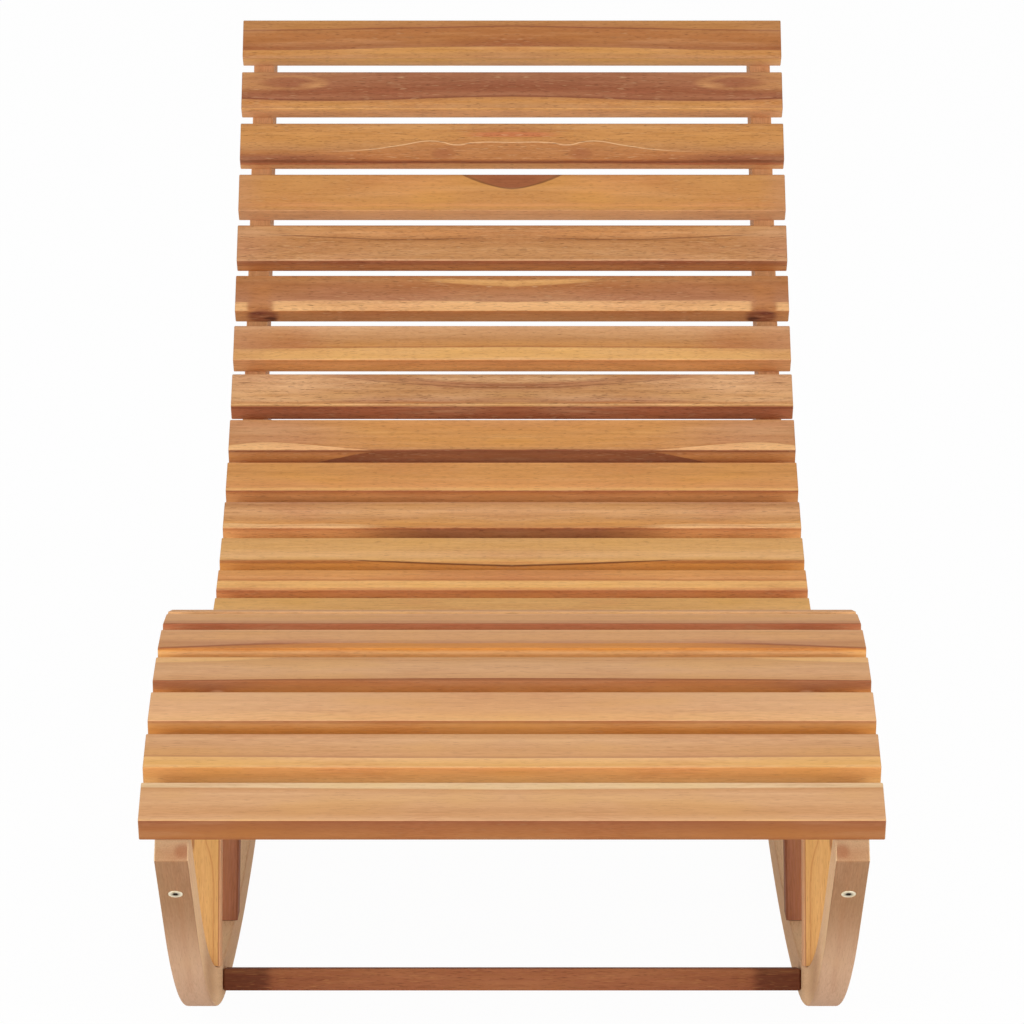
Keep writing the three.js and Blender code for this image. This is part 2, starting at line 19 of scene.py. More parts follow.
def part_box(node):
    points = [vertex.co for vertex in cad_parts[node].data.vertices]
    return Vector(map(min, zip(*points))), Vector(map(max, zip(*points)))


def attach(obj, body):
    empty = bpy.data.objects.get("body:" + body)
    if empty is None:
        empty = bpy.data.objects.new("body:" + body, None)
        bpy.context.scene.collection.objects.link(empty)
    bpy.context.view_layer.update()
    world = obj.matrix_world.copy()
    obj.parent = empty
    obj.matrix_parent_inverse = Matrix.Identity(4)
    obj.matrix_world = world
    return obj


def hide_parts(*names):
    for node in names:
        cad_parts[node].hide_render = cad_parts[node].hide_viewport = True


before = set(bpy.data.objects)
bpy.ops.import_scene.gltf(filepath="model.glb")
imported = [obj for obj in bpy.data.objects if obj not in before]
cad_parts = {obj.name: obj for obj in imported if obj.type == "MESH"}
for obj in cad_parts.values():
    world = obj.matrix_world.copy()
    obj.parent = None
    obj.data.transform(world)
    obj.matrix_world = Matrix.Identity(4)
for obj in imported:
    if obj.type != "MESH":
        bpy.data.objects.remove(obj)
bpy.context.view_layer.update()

LOG = logging.getLogger("chaise")

# Attributes of the meshes that the materials read. The board is the place along, across and up a
# board, the girth is the way round a slat, and the others mark ends, the sockets that get painted
# shade, and the side and upper faces that get a lighter tone as painted light.
BOARD = "board"
GIRTH = "girth"
END_GRAIN = "end_grain"
SOCKET_SHADE = "painted_shade"
PAINTED_LIGHT_SIDES = "painted_light_side"

Socket = bpy.types.NodeSocket
Colour = tuple[float, float, float, float]
Place = tuple[float, float, float]
Faces = list[tuple[int, ...]]


def from_hex(code: str) -> Colour:
    """Turns a display colour into the linear values that shaders use.

    Args:
        code: six hexadecimal digits.

    Returns:
        Linear red, green, blue and an alpha of 1.
    """
    parts = [int(code[i:i + 2], 16) / 255 for i in (0, 2, 4)]
    linear = [p / 12.92 if p <= 0.04045 else ((p + 0.055) / 1.055) ** 2.4 for p in parts]
    return (linear[0], linear[1], linear[2], 1.0)


class Tone(Enum):
    """Tones of the timber, from pale sapwood to the darkest heartwood."""

    CREAM = "EAC496"
    APRICOT = "E6B27A"
    PEACH = "DCA97C"
    STRAW = "DEA868"
    SAND = "D29C6C"
    GINGER = "D2925A"
    HONEY = "CB8F53"
    AMBER = "D08840"
    TAN = "C28B59"
    TOFFEE = "BC8250"
    IVORY = "E2BE93"
    GOLD = "CB9B5F"
    OAT = "CCA585"
    FAWN = "B28863"
    DUN = "9F7755"
    ROSE = "BE8862"
    CORAL = "C2734C"
    COPPER = "B37444"
    CLAY = "A66C4C"
    CINNAMON = "A4663F"
    SIENNA = "9A6040"
    MOCHA = "9A6548"
    RUSSET = "985A3C"
    CHESTNUT = "885038"
    MAROON = "7A4434"
    UMBER = "6C3E2B"
    BARK = "4A291D"

    @property
    def colour(self) -> Colour:
        """Linear colour of the tone."""
        return from_hex(self.value)


class Graph:
    """Adds nodes to one node tree and wires them."""

    def __init__(self, tree: bpy.types.NodeTree) -> None:
        """Keeps the tree to work on."""
        self.tree = tree

    def node(self, kind: str) -> bpy.types.Node:
        """Adds one node of a kind."""
        return self.tree.nodes.new(kind)

    def feed(self, socket: Socket, value: object) -> None:
        """Wires a socket to an input, or writes a constant there."""
        if isinstance(value, bpy.types.NodeSocket):
            self.tree.links.new(value, socket)
        else:
            socket.default_value = value

    def math(self, operation: str, *values: object, clamp: bool = False) -> Socket:
        """Adds a math node.

        Args:
            operation: Blender's name of the operation.
            values: up to three sockets or numbers.
            clamp: keeps the result between 0 and 1.

        Returns:
            The node's output.
        """
        made = self.node("ShaderNodeMath")
        made.operation = operation
        made.use_clamp = clamp
        for socket, value in zip(made.inputs, values):
            self.feed(socket, value)
        return made.outputs[0]

    def mix(self, share: object, first: object, second: object, blend: str = "MIX") -> Socket:
        """Mixes two colours by a share and returns the mixed colour."""
        made = self.node("ShaderNodeMix")
        made.data_type = "RGBA"
        made.blend_type = blend
        made.clamp_factor = True
        for index, value in ((0, share), (6, first), (7, second)):
            self.feed(made.inputs[index], value)
        return made.outputs[2]

    def scaled(self, vector: Socket, scale: tuple[float, float, float], shift: object = None) -> Socket:
        """Multiplies a vector by a scale and adds a shift, which may be a socket."""
        made = self.node("ShaderNodeVectorMath")
        made.operation = "MULTIPLY_ADD"
        self.feed(made.inputs[0], vector)
        self.feed(made.inputs[1], scale)
        self.feed(made.inputs[2], (0.0, 0.0, 0.0) if shift is None else shift)
        return made.outputs[0]

    def noise(self, vector: Socket, detail: float = 2.0, roughness: float = 0.5) -> Socket:
        """Adds smooth noise of a place, at a scale of 1, and returns it between 0 and 1."""
        made = self.node("ShaderNodeTexNoise")
        self.feed(made.inputs["Vector"], vector)
        made.inputs["Scale"].default_value = 1.0
        made.inputs["Detail"].default_value = detail
        made.inputs["Roughness"].default_value = roughness
        return made.outputs["Fac"]

    def smooth(self, value: Socket, low: object, high: object) -> Socket:
        """Rises smoothly from 0 at the low value to 1 at the high one."""
        made = self.node("ShaderNodeMapRange")
        made.interpolation_type = "SMOOTHSTEP"
        for name, part in (("Value", value), ("From Min", low), ("From Max", high)):
            self.feed(made.inputs[name], part)
        return made.outputs["Result"]

    def curve(self, value: Socket, points: tuple[tuple[float, float], ...]) -> Socket:
        """Gives the height of a smooth curve through a few points.

        Args:
            value: place along the curve, 0 to 1.
            points: places and heights that the curve goes through, in order.

        Returns:
            The height there.
        """
        made = self.node("ShaderNodeFloatCurve")
        drawn = made.mapping.curves[0]
        drawn.points[0].location = points[0]
        drawn.points[-1].location = points[-1]
        for x, y in points[1:-1]:
            drawn.points.new(x, y)
        made.mapping.use_clip = False
        made.mapping.extend = "HORIZONTAL"
        made.mapping.update()
        self.feed(made.inputs["Value"], value)
        return made.outputs[0]

    def place(self, group: bpy.types.NodeTree, **values: object) -> bpy.types.Node:
        """Adds a group node and feeds its inputs by name, with spaces for underscores."""
        made = self.node("ShaderNodeGroup")
        made.node_tree = group
        for name, value in values.items():
            self.feed(made.inputs[name.replace("_", " ")], value)
        return made

    def attribute(self, name: str) -> bpy.types.Node:
        """Reads an attribute of the piece's mesh."""
        made = self.node("ShaderNodeAttribute")
        made.attribute_name = name
        return made

    def split(self, vector: Socket) -> list[Socket]:
        """Splits a vector into its three parts."""
        made = self.node("ShaderNodeSeparateXYZ")
        self.feed(made.inputs[0], vector)
        return list(made.outputs)

    def join(self, *parts: object) -> Socket:
        """Joins three parts into a vector."""
        made = self.node("ShaderNodeCombineXYZ")
        for socket, value in zip(made.inputs, parts):
            self.feed(socket, value)
        return made.outputs[0]


class Groups:
    """The shader groups that several finishes share, each built once."""

    def __init__(self) -> None:
        """Builds every group."""
        self.bands = self._bands()
        self.streak = self._streak()
        self.mark = self._mark()
        self.timber = self._timber()
        self.scuffs = self._scuffs()

    @staticmethod
    def _start(name: str, inputs: list[tuple[str, str]],
               outputs: list[tuple[str, str]]) -> tuple[bpy.types.NodeTree, Graph, dict[str, Socket], bpy.types.Node]:
        """Starts a group with named sockets.

        Args:
            name: the group's name.
            inputs: names and kinds of its inputs.
            outputs: names and kinds of its outputs.

        Returns:
            The group's tree, a graph on it, its inputs by name, and its output node.
        """
        tree = bpy.data.node_groups.new(name, "ShaderNodeTree")
        for side, sockets in (("INPUT", inputs), ("OUTPUT", outputs)):
            for label, kind in sockets:
                tree.interface.new_socket(name=label, in_out=side, socket_type=f"NodeSocket{kind}")
        graph = Graph(tree)
        given = graph.node("NodeGroupInput")
        result = graph.node("NodeGroupOutput")
        return tree, graph, {label: given.outputs[label] for label, _ in inputs}, result

    def _bands(self) -> bpy.types.NodeTree:
        """Place across a board after its bands have wandered a little along it."""
        tree, graph, given, result = self._start(
            "Wandering bands",
            [("Along", "Float"), ("Girth", "Float"), ("Seed", "Float"), ("Wander", "Float")],
            [("Place", "Float")],
        )
        slow = graph.join(
            graph.math("MULTIPLY_ADD", given["Along"], 9.0, given["Seed"]),
            graph.math("MULTIPLY", given["Girth"], 1.4),
            given["Seed"],
        )
        sway = graph.math("SUBTRACT", graph.noise(slow, 2.0), 0.5)
        place = graph.math("MULTIPLY_ADD", sway, given["Wander"], given["Girth"])
        graph.feed(result.inputs["Place"], place)
        return tree

    def _streak(self) -> bpy.types.NodeTree:
        """Inside of a streak between an upper and a lower level, from its start to its end."""
        names = ["Along", "Girth", "Seed", "Upper", "Lower", "Start", "End", "Fade", "Softness", "Wobble"]
        tree, graph, given, result = self._start(
            "Figure streak", [(name, "Float") for name in names], [("Inside", "Float")]
        )
        slow = graph.join(graph.math("MULTIPLY_ADD", given["Along"], 60.0, given["Seed"]), given["Seed"], 0.0)
        sway = graph.math("SUBTRACT", graph.noise(slow, 2.0), 0.5)
        place = graph.math("MULTIPLY_ADD", sway, given["Wobble"], given["Girth"])
        edges = []
        for name, value, soft in (("Upper", place, "Softness"), ("Lower", place, "Softness"),
                                  ("Start", given["Along"], "Fade"), ("End", given["Along"], "Fade")):
            low = graph.math("SUBTRACT", given[name], given[soft])
            high = graph.math("ADD", given[name], given[soft])
            edges.append(graph.smooth(value, low, high))
        above, below, begun, ended = edges
        inside = graph.math("MULTIPLY", above, graph.math("SUBTRACT", 1.0, below))
        span = graph.math("MULTIPLY", begun, graph.math("SUBTRACT", 1.0, ended))
        graph.feed(result.inputs["Inside"], graph.math("MULTIPLY", inside, span))
        return tree

    def _mark(self) -> bpy.types.NodeTree:
        """Soft oval on a board: its inside and its rim, with a slightly wandering outline."""
        names = ["Along", "Girth", "Seed", "Centre", "Level", "Reach", "Height", "Softness", "Tilt", "Sway"]
        tree, graph, given, result = self._start(
            "Figure mark", [(name, "Float") for name in names], [("Inside", "Float"), ("Rim", "Float")]
        )
        away = graph.math("SUBTRACT", given["Along"], given["Centre"])
        slow = graph.join(graph.math("MULTIPLY_ADD", given["Along"], 22.0, given["Seed"]), given["Seed"], 0.0)
        sway = graph.math("MULTIPLY", graph.math("SUBTRACT", graph.noise(slow, 1.5), 0.5), given["Sway"])
        level = graph.math("ADD", graph.math("MULTIPLY_ADD", away, given["Tilt"], given["Level"]), sway)
        flat = graph.math("DIVIDE", away, given["Reach"])
        tall = graph.math("DIVIDE", graph.math("SUBTRACT", given["Girth"], level), given["Height"])
        square = graph.math("ADD", graph.math("MULTIPLY", flat, flat), graph.math("MULTIPLY", tall, tall))
        away = graph.math("SQRT", square)
        low = graph.math("SUBTRACT", 1.0, given["Softness"])
        high = graph.math("ADD", 1.0, given["Softness"])
        graph.feed(result.inputs["Inside"], graph.math("SUBTRACT", 1.0, graph.smooth(away, low, high)))
        rim = graph.math("ABSOLUTE", graph.math("SUBTRACT", away, 1.0))
        rim = graph.math("SUBTRACT", 1.0, graph.smooth(rim, 0.0, given["Softness"]))
        graph.feed(result.inputs["Rim"], rim)
        return tree

    def _timber(self) -> bpy.types.NodeTree:
        """Grain of a board over its own tones: long streaks, fine fibres, veins, blush and pores.

        A vein lies where the place across the board, warped by slow noise, passes a whole number
        of pitches. It darkens slowly towards the line and stops short after it.
        """
        tree, graph, given, result = self._start(
            "Timber grain",
            [("Board", "Vector"), ("Seed", "Float"), ("Base", "Color"), ("Dark", "Color"), ("Pale", "Color"),
             ("Streaks", "Float"), ("Veins", "Float"), ("Vein pitch", "Float"), ("Fibres", "Float"),
             ("Blush", "Float"), ("Pores", "Float")],
            [("Color", "Color"), ("Height", "Float"), ("Roughness", "Float")],
        )
        board, seed = given["Board"], given["Seed"]
        shift = graph.join(seed, graph.math("MULTIPLY", seed, 0.37), graph.math("MULTIPLY", seed, 0.71))
        long = graph.noise(graph.scaled(board, (4.5, 75.0, 60.0), shift), 3.0, 0.6)
        fine = graph.noise(graph.scaled(board, (16.0, 260.0, 220.0), shift), 3.0, 0.6)
        hair = graph.noise(graph.scaled(board, (75.0, 1000.0, 900.0), shift), 1.0)
        patch = graph.noise(graph.scaled(board, (8.0, 24.0, 24.0), shift), 2.0)
        warp = graph.noise(graph.scaled(board, (3.0, 13.0, 13.0), shift), 2.0)
        pore = graph.noise(graph.scaled(board, (110.0, 2400.0, 2400.0), shift), 1.0)
        _, across, height = graph.split(board)
        level = graph.math("MULTIPLY_ADD", warp, 0.05, graph.math("ADD", across, height))
        turn = graph.math("FRACT", graph.math("DIVIDE", level, given["Vein pitch"]))
        vein = graph.math("MULTIPLY", graph.math("POWER", turn, 6.0),
                          graph.math("SUBTRACT", 1.0, graph.smooth(turn, 0.93, 1.0)))
        vein = graph.math("MULTIPLY", vein, graph.smooth(patch, 0.35, 0.65))
        dark = graph.math("MULTIPLY", graph.smooth(long, 0.50, 0.76), given["Streaks"])
        pale = graph.math("MULTIPLY", graph.smooth(long, 0.50, 0.24), given["Streaks"])
        colour = graph.mix(dark, given["Base"], given["Dark"])
        colour = graph.mix(pale, colour, given["Pale"])
        warm = graph.math("MULTIPLY", graph.smooth(patch, 0.50, 0.75), given["Blush"])
        gold = graph.math("MULTIPLY", graph.smooth(patch, 0.48, 0.25), given["Blush"])
        colour = graph.mix(warm, colour, graph.mix(1.0, colour, (0.90, 0.76, 0.80, 1.0), "MULTIPLY"))
        colour = graph.mix(gold, colour, graph.mix(1.0, colour, (1.04, 1.04, 0.78, 1.0), "MULTIPLY"))
        colour = graph.mix(graph.math("MULTIPLY", vein, given["Veins"]), colour, given["Dark"])
        rough = graph.math("MULTIPLY_ADD", graph.smooth(patch, 0.35, 0.65), 0.8, 0.2)
        shade = graph.math("MULTIPLY", graph.math("SUBTRACT", fine, 0.5), given["Fibres"])
        hairs = graph.math("MULTIPLY", graph.math("SUBTRACT", hair, 0.5), 0.75)
        shade = graph.math("MULTIPLY_ADD", hairs, rough, shade)
        warmed = [graph.math("MULTIPLY_ADD", shade, share, 1.0) for share in (0.75, 1.0, 1.3)]
        colour = graph.mix(1.0, colour, graph.join(*warmed), "MULTIPLY")
        dashes = graph.math("MULTIPLY", graph.smooth(pore, 0.62, 0.72), given["Pores"])
        colour = graph.mix(dashes, colour, Tone.BARK.colour)
        flecks = graph.math("MULTIPLY", rough, given["Pores"])
        colour = graph.mix(graph.math("MULTIPLY", graph.smooth(hair, 0.58, 0.72), flecks), colour, given["Dark"])
        colour = graph.mix(graph.math("MULTIPLY", graph.smooth(hair, 0.40, 0.26), flecks), colour, given["Pale"])
        graph.feed(result.inputs["Color"], colour)
        relief = graph.math("MULTIPLY_ADD", fine, 0.8, graph.math("MULTIPLY", hair, 0.5))
        graph.feed(result.inputs["Height"], graph.math("SUBTRACT", relief, dashes))
        graph.feed(result.inputs["Roughness"], graph.math("MULTIPLY_ADD", fine, 0.2, 0.55))
        return tree

    def _scuffs(self) -> bpy.types.NodeTree:
        """Fine scratches and soft clouding on metal."""
        tree, graph, given, result = self._start(
            "Metal scuffs", [("Vector", "Vector"), ("Base", "Color"), ("Dull", "Color")],
            [("Color", "Color"), ("Roughness", "Float"), ("Height", "Float")],
        )
        cloud = graph.noise(graph.scaled(given["Vector"], (260.0, 260.0, 260.0)), 3.0)
        scratch = graph.noise(graph.scaled(given["Vector"], (2200.0, 240.0, 2200.0)), 2.0)
        graph.feed(result.inputs["Color"], graph.mix(graph.smooth(cloud, 0.4, 0.75), given["Base"], given["Dull"]))
        graph.feed(result.inputs["Roughness"], graph.math("MULTIPLY_ADD", cloud, 0.25, 0.18))
        graph.feed(result.inputs["Height"], scratch)
        return tree


Line = tuple[tuple[float, float], ...]
Level = float | Line


@dataclass(frozen=True)
class Mark:
    """One oval figure in a board, filled or drawn as a rim.

    On a slat the place along is measured from its middle, in metres, and the level is a share of
    the way round from the rear arris over the top face (up to 0.695) and down the front edge (up
    to 1). On other boards both are metres.
    """

    along: float
    level: float
    reach: float
    height: float
    tone: Tone
    strength: float = 0.8
    softness: float = 0.25
    tilt: float = 0.0
    sway: float = 0.0
    rim: bool = False


@dataclass(frozen=True)
class Streak:
    """One figure in a board: a tone between an upper and a lower line that run along it.

    A line is one level, or points of a distance along the board and the level there.
    """

    upper: Level
    lower: Level
    tone: Tone
    strength: float = 0.85
    softness: float = 0.012
    start: float = -1.0
    end: float = 1.0
    fade: float = 0.03
    wobble: float = 0.02


@dataclass(frozen=True)
class SlatFigure:
    """Tones across a slat's top face and its front edge, and the figures over them.

    The light factors scale the face tones and the edge tones. They are partly the board's own
    lightness and partly painted light, above all on the front edges, which the lamps leave in shade.
    """

    face: tuple[tuple[float, Tone], ...]
    edge: tuple[tuple[float, Tone], ...]
    bow: Level = 0.0
    wander: float = 0.03
    streaks: float = 0.30
    veins: float = 0.12
    blush: float = 0.45
    fibres: float = 0.5
    light: tuple[float, float] = (1.0, 1.0)
    figures: tuple[Streak | Mark, ...] = ()


def moved(level: Level, way: float) -> Level:
    """Moves a level or a line across the board."""
    if isinstance(level, tuple):
        return tuple((along, place + way) for along, place in level)
    return level + way


def vein(line: Level, tone: Tone, width: float = 0.016, strength: float = 0.8, **options: float) -> Streak:
    """Makes a thin streak along a line.

    Args:
        line: its middle line.
        tone: its tone.
        width: its width, measured as the levels are.
        strength: how much it covers.
        options: other fields of the streak.

    Returns:
        The streak.
    """
    return Streak(moved(line, -width / 2), moved(line, width / 2), tone, strength, width / 2, **options)


# Half a slat's length, over which the points of a line are spread, and the girths between which
# its top face turns into its front edge.
FIGURE_REACH = 0.3
FRONT_ARRIS = (0.690, 0.700)

T = Tone
FIGURES_FROM_HEAD: tuple[SlatFigure, ...] = (
    SlatFigure(
        ((0, T.TAN), (.13, T.TOFFEE), (.24, T.COPPER), (.42, T.COPPER), (.54, T.CINNAMON), (.568, T.CINNAMON),
         (.58, T.HONEY), (.65, T.HONEY), (.695, T.TAN)),
        ((.70, T.SAND), (.80, T.STRAW), (1, T.PEACH)), light=(0.87, 1.03), fibres=.6,
        bow=((0, -.070), (.09, -.063), (.20, -.02), (.30, 0)), figures=(
            vein(((0, .112), (.159, .163), (.298, .200)), T.CHESTNUT, .020, .85),
            vein(((0, .175), (.15, .225)), T.CINNAMON, .012, .45, end=.18))),
    SlatFigure(
        ((0, T.CLAY), (.20, T.CLAY), (.38, T.RUSSET), (.50, T.CLAY), (.542, T.CHESTNUT), (.552, T.TOFFEE),
         (.62, T.HONEY), (.695, T.TAN)),
        ((.70, T.STRAW), (.82, T.SAND), (1, T.SAND)), light=(0.90, 1.13), fibres=.7, wander=.02, streaks=.4,
        bow=((0, -.072), (.089, -.045), (.158, -.004), (.238, 0), (.296, -.034)), figures=(
            Streak(-1, .36, T.TAN, .75, .08, start=.275, fade=.03),
            Mark(.249, .214, .037, .120, T.TAN, .45, .40, sway=.10, rim=True),
            Mark(.222, .250, .014, .050, T.TAN, .5, .5),
            Mark(.256, .190, .026, .070, T.RUSSET, .45, .6),
            Streak(.10, .36, T.CHESTNUT, .45, .10, end=.11, fade=.06, wobble=.2))),
    SlatFigure(
        ((0, T.TOFFEE), (.08, T.HONEY), (.30, T.HONEY), (.52, T.TAN), (.60, T.TOFFEE), (.695, T.TOFFEE)),
        ((.70, T.COPPER), (.80, T.CINNAMON), (.84, T.TAN), (1, T.SAND)),
        light=(0.89, 1.17), fibres=.7, wander=.02, figures=(
            Streak(((0, .369), (.044, .374), (.068, .417), (.078, .359), (.089, .340), (.123, .423), (.157, .503),
                    (.203, .56)), .72, T.COPPER, .55, .015, end=.2, fade=.04),
            Streak(.52, .70, T.COPPER, .7, .05, start=.13, fade=.05),
            Streak(.60, .80, T.CHESTNUT, .8, .05, start=.19, fade=.06),
            vein(.775, T.CHESTNUT, .05, .8, end=.2, wobble=.05),
            vein(.835, T.CORAL, .05, .9, start=.16),
            vein(((0, .369), (.044, .374), (.060, .417), (.078, .359), (.089, .340), (.123, .423), (.157, .503),
                  (.203, .547)), T.CREAM, .014, .75, end=.175, fade=.05, wobble=.012),
            Streak(((0, .165), (.05, .180)), .262, T.CORAL, .8, .02, end=.045, fade=.02),
            Streak(((0, .05), (.05, .1)), .17, T.CINNAMON, .5, .03, end=.06, fade=.04),
            Mark(.076, .585, .012, .10, T.RUSSET, .5, .5))),
    SlatFigure(
        ((0, T.TOFFEE), (.04, T.HONEY), (.52, T.HONEY), (.60, T.GINGER), (.64, T.HONEY), (.695, T.TAN)),
        ((.70, T.SAND), (.85, T.SAND), (1, T.PEACH)), light=(0.89, 1.08), streaks=.2, veins=.06, figures=(
            Streak(-1, ((0, .285), (.006, .280), (.022, .225), (.044, .103), (.058, -.02)), T.UMBER, .85, .010,
                   wobble=.0),
            Streak(-1, ((0, .262), (.006, .257), (.021, .205), (.040, .085), (.052, -.02)), T.RUSSET, .85, .014,
                   wobble=.0),
            Streak(.02, .40, T.GINGER, .5, .10, start=.06, end=.15, fade=.05),
            Streak(-1, 2, T.ROSE, .6, .1, start=.285, fade=.02))),
    SlatFigure(
        ((0, T.COPPER), (.05, T.TAN), (.30, T.TOFFEE), (.45, T.TAN), (.65, T.TAN), (.68, T.PEACH), (.695, T.ROSE)),
        ((.70, T.RUSSET), (.80, T.CINNAMON), (.86, T.COPPER), (1, T.COPPER)),
        light=(0.90, 1.15), fibres=.8, streaks=.4, figures=(
            vein(((.045, .257), (.133, .284), (.182, .253), (.223, .217), (.278, .182)), T.UMBER, .014, .9,
                 start=.05, end=.265, fade=.02, wobble=.016),
            Streak(.10, ((.045, .25), (.133, .27), (.182, .24), (.278, .17)), T.COPPER, .35, .03, start=.04, end=.27),
            Streak(.06, .20, T.GINGER, .5, .04, start=.02, end=.2, fade=.08),
            Streak(-1, .70, T.ROSE, .7, .1, start=.27, fade=.04))),
    SlatFigure(
        ((0, T.COPPER), (.10, T.TOFFEE), (.20, T.COPPER), (.49, T.ROSE), (.695, T.COPPER)),
        ((.70, T.COPPER), (.80, T.TOFFEE), (1, T.TAN)),
        light=(0.89, 1.03), fibres=.7, wander=.02, streaks=.35, figures=(
            Streak(((0, .525), (.15, .49), (.25, .50)), .69, T.APRICOT, .85, .012, end=.259, fade=.004),
            Streak(.52, .69, T.APRICOT, .8, .012, start=.2865, fade=.003),
            Streak(.08, .52, T.CLAY, .5, .12, start=.13, fade=.08),
            Streak(.20, .80, T.COPPER, .45, .10, start=.262, end=.284, fade=.006, wobble=.1),
            Mark(.270, .84, .0165, .17, T.CHESTNUT, .85, .30),
            Mark(.262, .93, .007, .06, T.BARK, .8, .5),
            Mark(.276, .76, .008, .04, T.MAROON, .8, .5),
            Mark(.272, .86, .006, .025, T.CLAY, .8, .6),
            Mark(.268, .95, .006, .02, T.CLAY, .7, .6),
            Streak(((0, .10), (.06, .08), (.1, .08)), ((0, .22), (.06, .16), (.1, .11)), T.STRAW, .8, .02, end=.085,
                   fade=.03))),
    SlatFigure(
        ((0, T.ROSE), (.04, T.PEACH), (.15, T.SAND), (.30, T.TAN), (.42, T.HONEY), (.455, T.COPPER),
         (.475, T.STRAW), (.66, T.STRAW), (.695, T.APRICOT)),
        ((.70, T.COPPER), (.76, T.TOFFEE), (.90, T.HONEY), (1, T.TAN)),
        light=(0.91, 1.30), fibres=.6, wander=.02, streaks=.35,
        bow=((0, -.035), (.12, -.02), (.3, 0)), figures=(
            Streak(.30, .47, T.CLAY, .6, .06, start=.22, fade=.05),
            Mark(.262, .26, .040, .20, T.COPPER, .5, .6, sway=.2),
            Streak(-1, 2, T.ROSE, .5, .1, start=.27, fade=.03))),
    SlatFigure(
        ((0, T.TAN), (.10, T.SAND), (.45, T.TAN), (.55, T.ROSE), (.62, T.COPPER), (.655, T.APRICOT), (.67, T.TAN),
         (.695, T.COPPER)),
        ((.70, T.CHESTNUT), (.77, T.RUSSET), (.86, T.RUSSET), (1, T.CINNAMON)),
        light=(0.90, 1.2), fibres=.9, wander=.03, streaks=.6, veins=.3,
        figures=(
            Streak(((0, .20), (.051, .17), (.097, .09), (.132, .04), (.167, .0), (.21, -.06)),
                   ((0, .33), (.051, .31), (.097, .25), (.132, .19), (.167, .13), (.21, .02)), T.RUSSET, .55, .035,
                   end=.205, fade=.02, wobble=.06),
            vein(((0, .30), (.051, .28), (.097, .22), (.14, .16), (.167, .10), (.198, .03)), T.BARK, .012, .55,
                 end=.2, wobble=.03),
            vein(((0, .24), (.051, .22), (.097, .15), (.14, .10)), T.MAROON, .010, .5, end=.13, wobble=.03),
            vein(((0, .58), (.08, .60), (.14, .56), (.20, .58), (.27, .56)), T.RUSSET, .014, .5, end=.27, wobble=.02),
            Streak(-1, .62, T.PEACH, .55, .10, start=.17, fade=.06))),
    SlatFigure(
        ((0, T.GINGER), (.30, T.HONEY), (.60, T.HONEY), (.67, T.TAN), (.695, T.RUSSET)),
        ((.70, T.CINNAMON), (.75, T.TOFFEE), (.84, T.HONEY), (.95, T.COPPER), (1, T.COPPER)),
        light=(0.99, 1.05), fibres=.6, streaks=.35, figures=(
            Streak(.02, .60, T.ROSE, .75, .10, start=.185, fade=.07, wobble=.1),
            Streak(((.12, .72), (.142, .70), (.188, .625), (.228, .548), (.264, .520), (.299, .585)), .70, T.APRICOT,
                   .95, .010, start=.13, fade=.01, wobble=.01),
            vein(((.12, .71), (.142, .69), (.188, .612), (.228, .535), (.264, .508)), T.COPPER, .014, .6, start=.13,
                 end=.24),
            Streak(((0, .69), (.125, .70), (.150, .74), (.18, .85), (.215, 1.0)), 2, T.CHESTNUT, .85, .012, end=.222,
                   fade=.01, wobble=.02),
            Streak(.80, .93, T.CINNAMON, .6, .05, start=.02, end=.12, fade=.05, wobble=.06),
            Streak(.86, 2, T.CLAY, .5, .06, end=.15, fade=.05, wobble=.1),
            vein(.715, T.CHESTNUT, .04, .8, start=.13))),
    SlatFigure(
        ((0, T.GINGER), (.08, T.HONEY), (.35, T.HONEY), (.60, T.GINGER), (.66, T.STRAW), (.695, T.TAN)),
        ((.70, T.RUSSET), (.745, T.COPPER), (.80, T.TOFFEE), (1, T.TOFFEE)),
        light=(1.03, 1.20), streaks=.25, veins=.06),
    SlatFigure(
        ((0, T.ROSE), (.10, T.TAN), (.25, T.SAND), (.45, T.TAN), (.60, T.HONEY), (.695, T.TAN)),
        ((.70, T.CINNAMON), (.76, T.TOFFEE), (.95, T.HONEY), (1, T.HONEY)),
        light=(1.10, 1.38), fibres=.6, streaks=.4, figures=(
            Streak(((.12, .66), (.17, .60), (.26, .60), (.30, .57)), .71, T.APRICOT, .9, .012, start=.145, fade=.02),
            vein(((.16, .64), (.25, .66), (.30, .70)), T.COPPER, .012, .5, start=.15),
            Streak(.60, .69, T.COPPER, .35, .05, end=.14, fade=.05),
            Streak(.71, 2, T.MAROON, .7, .02, end=.14, fade=.06, wobble=.08))),
    SlatFigure(
        ((0, T.STRAW), (.30, T.STRAW), (.55, T.APRICOT), (.67, T.STRAW), (.695, T.STRAW)),
        ((.70, T.STRAW), (1, T.STRAW)), light=(0.97, 1.04), streaks=.2, veins=.05, blush=.35, figures=(
            Streak(((0, .79), (.084, .741), (.157, .690), (.30, .690)), 2, T.AMBER, .8, .010),
            Streak(.66, .74, T.CINNAMON, .7, .02, start=.155, fade=.02, wobble=.03),
            vein(((0, .784), (.084, .738), (.157, .684)), T.UMBER, .028, .9, end=.16, fade=.008, wobble=.006))),
    SlatFigure(
        ((0, T.HONEY), (.30, T.GINGER), (.36, T.COPPER), (.40, T.STRAW), (.60, T.STRAW), (.64, T.GINGER),
         (.695, T.TAN)),
        ((.70, T.CINNAMON), (.78, T.COPPER), (1, T.COPPER)), light=(1.19, 1.37), wander=.04, streaks=.35, figures=(
            Streak(.02, .34, T.CORAL, .3, .05, end=.12, fade=.06),)),
    SlatFigure(((0, T.STRAW), (.5, T.STRAW), (.695, T.HONEY)), ((.70, T.COPPER), (1, T.CINNAMON)), streaks=.2),
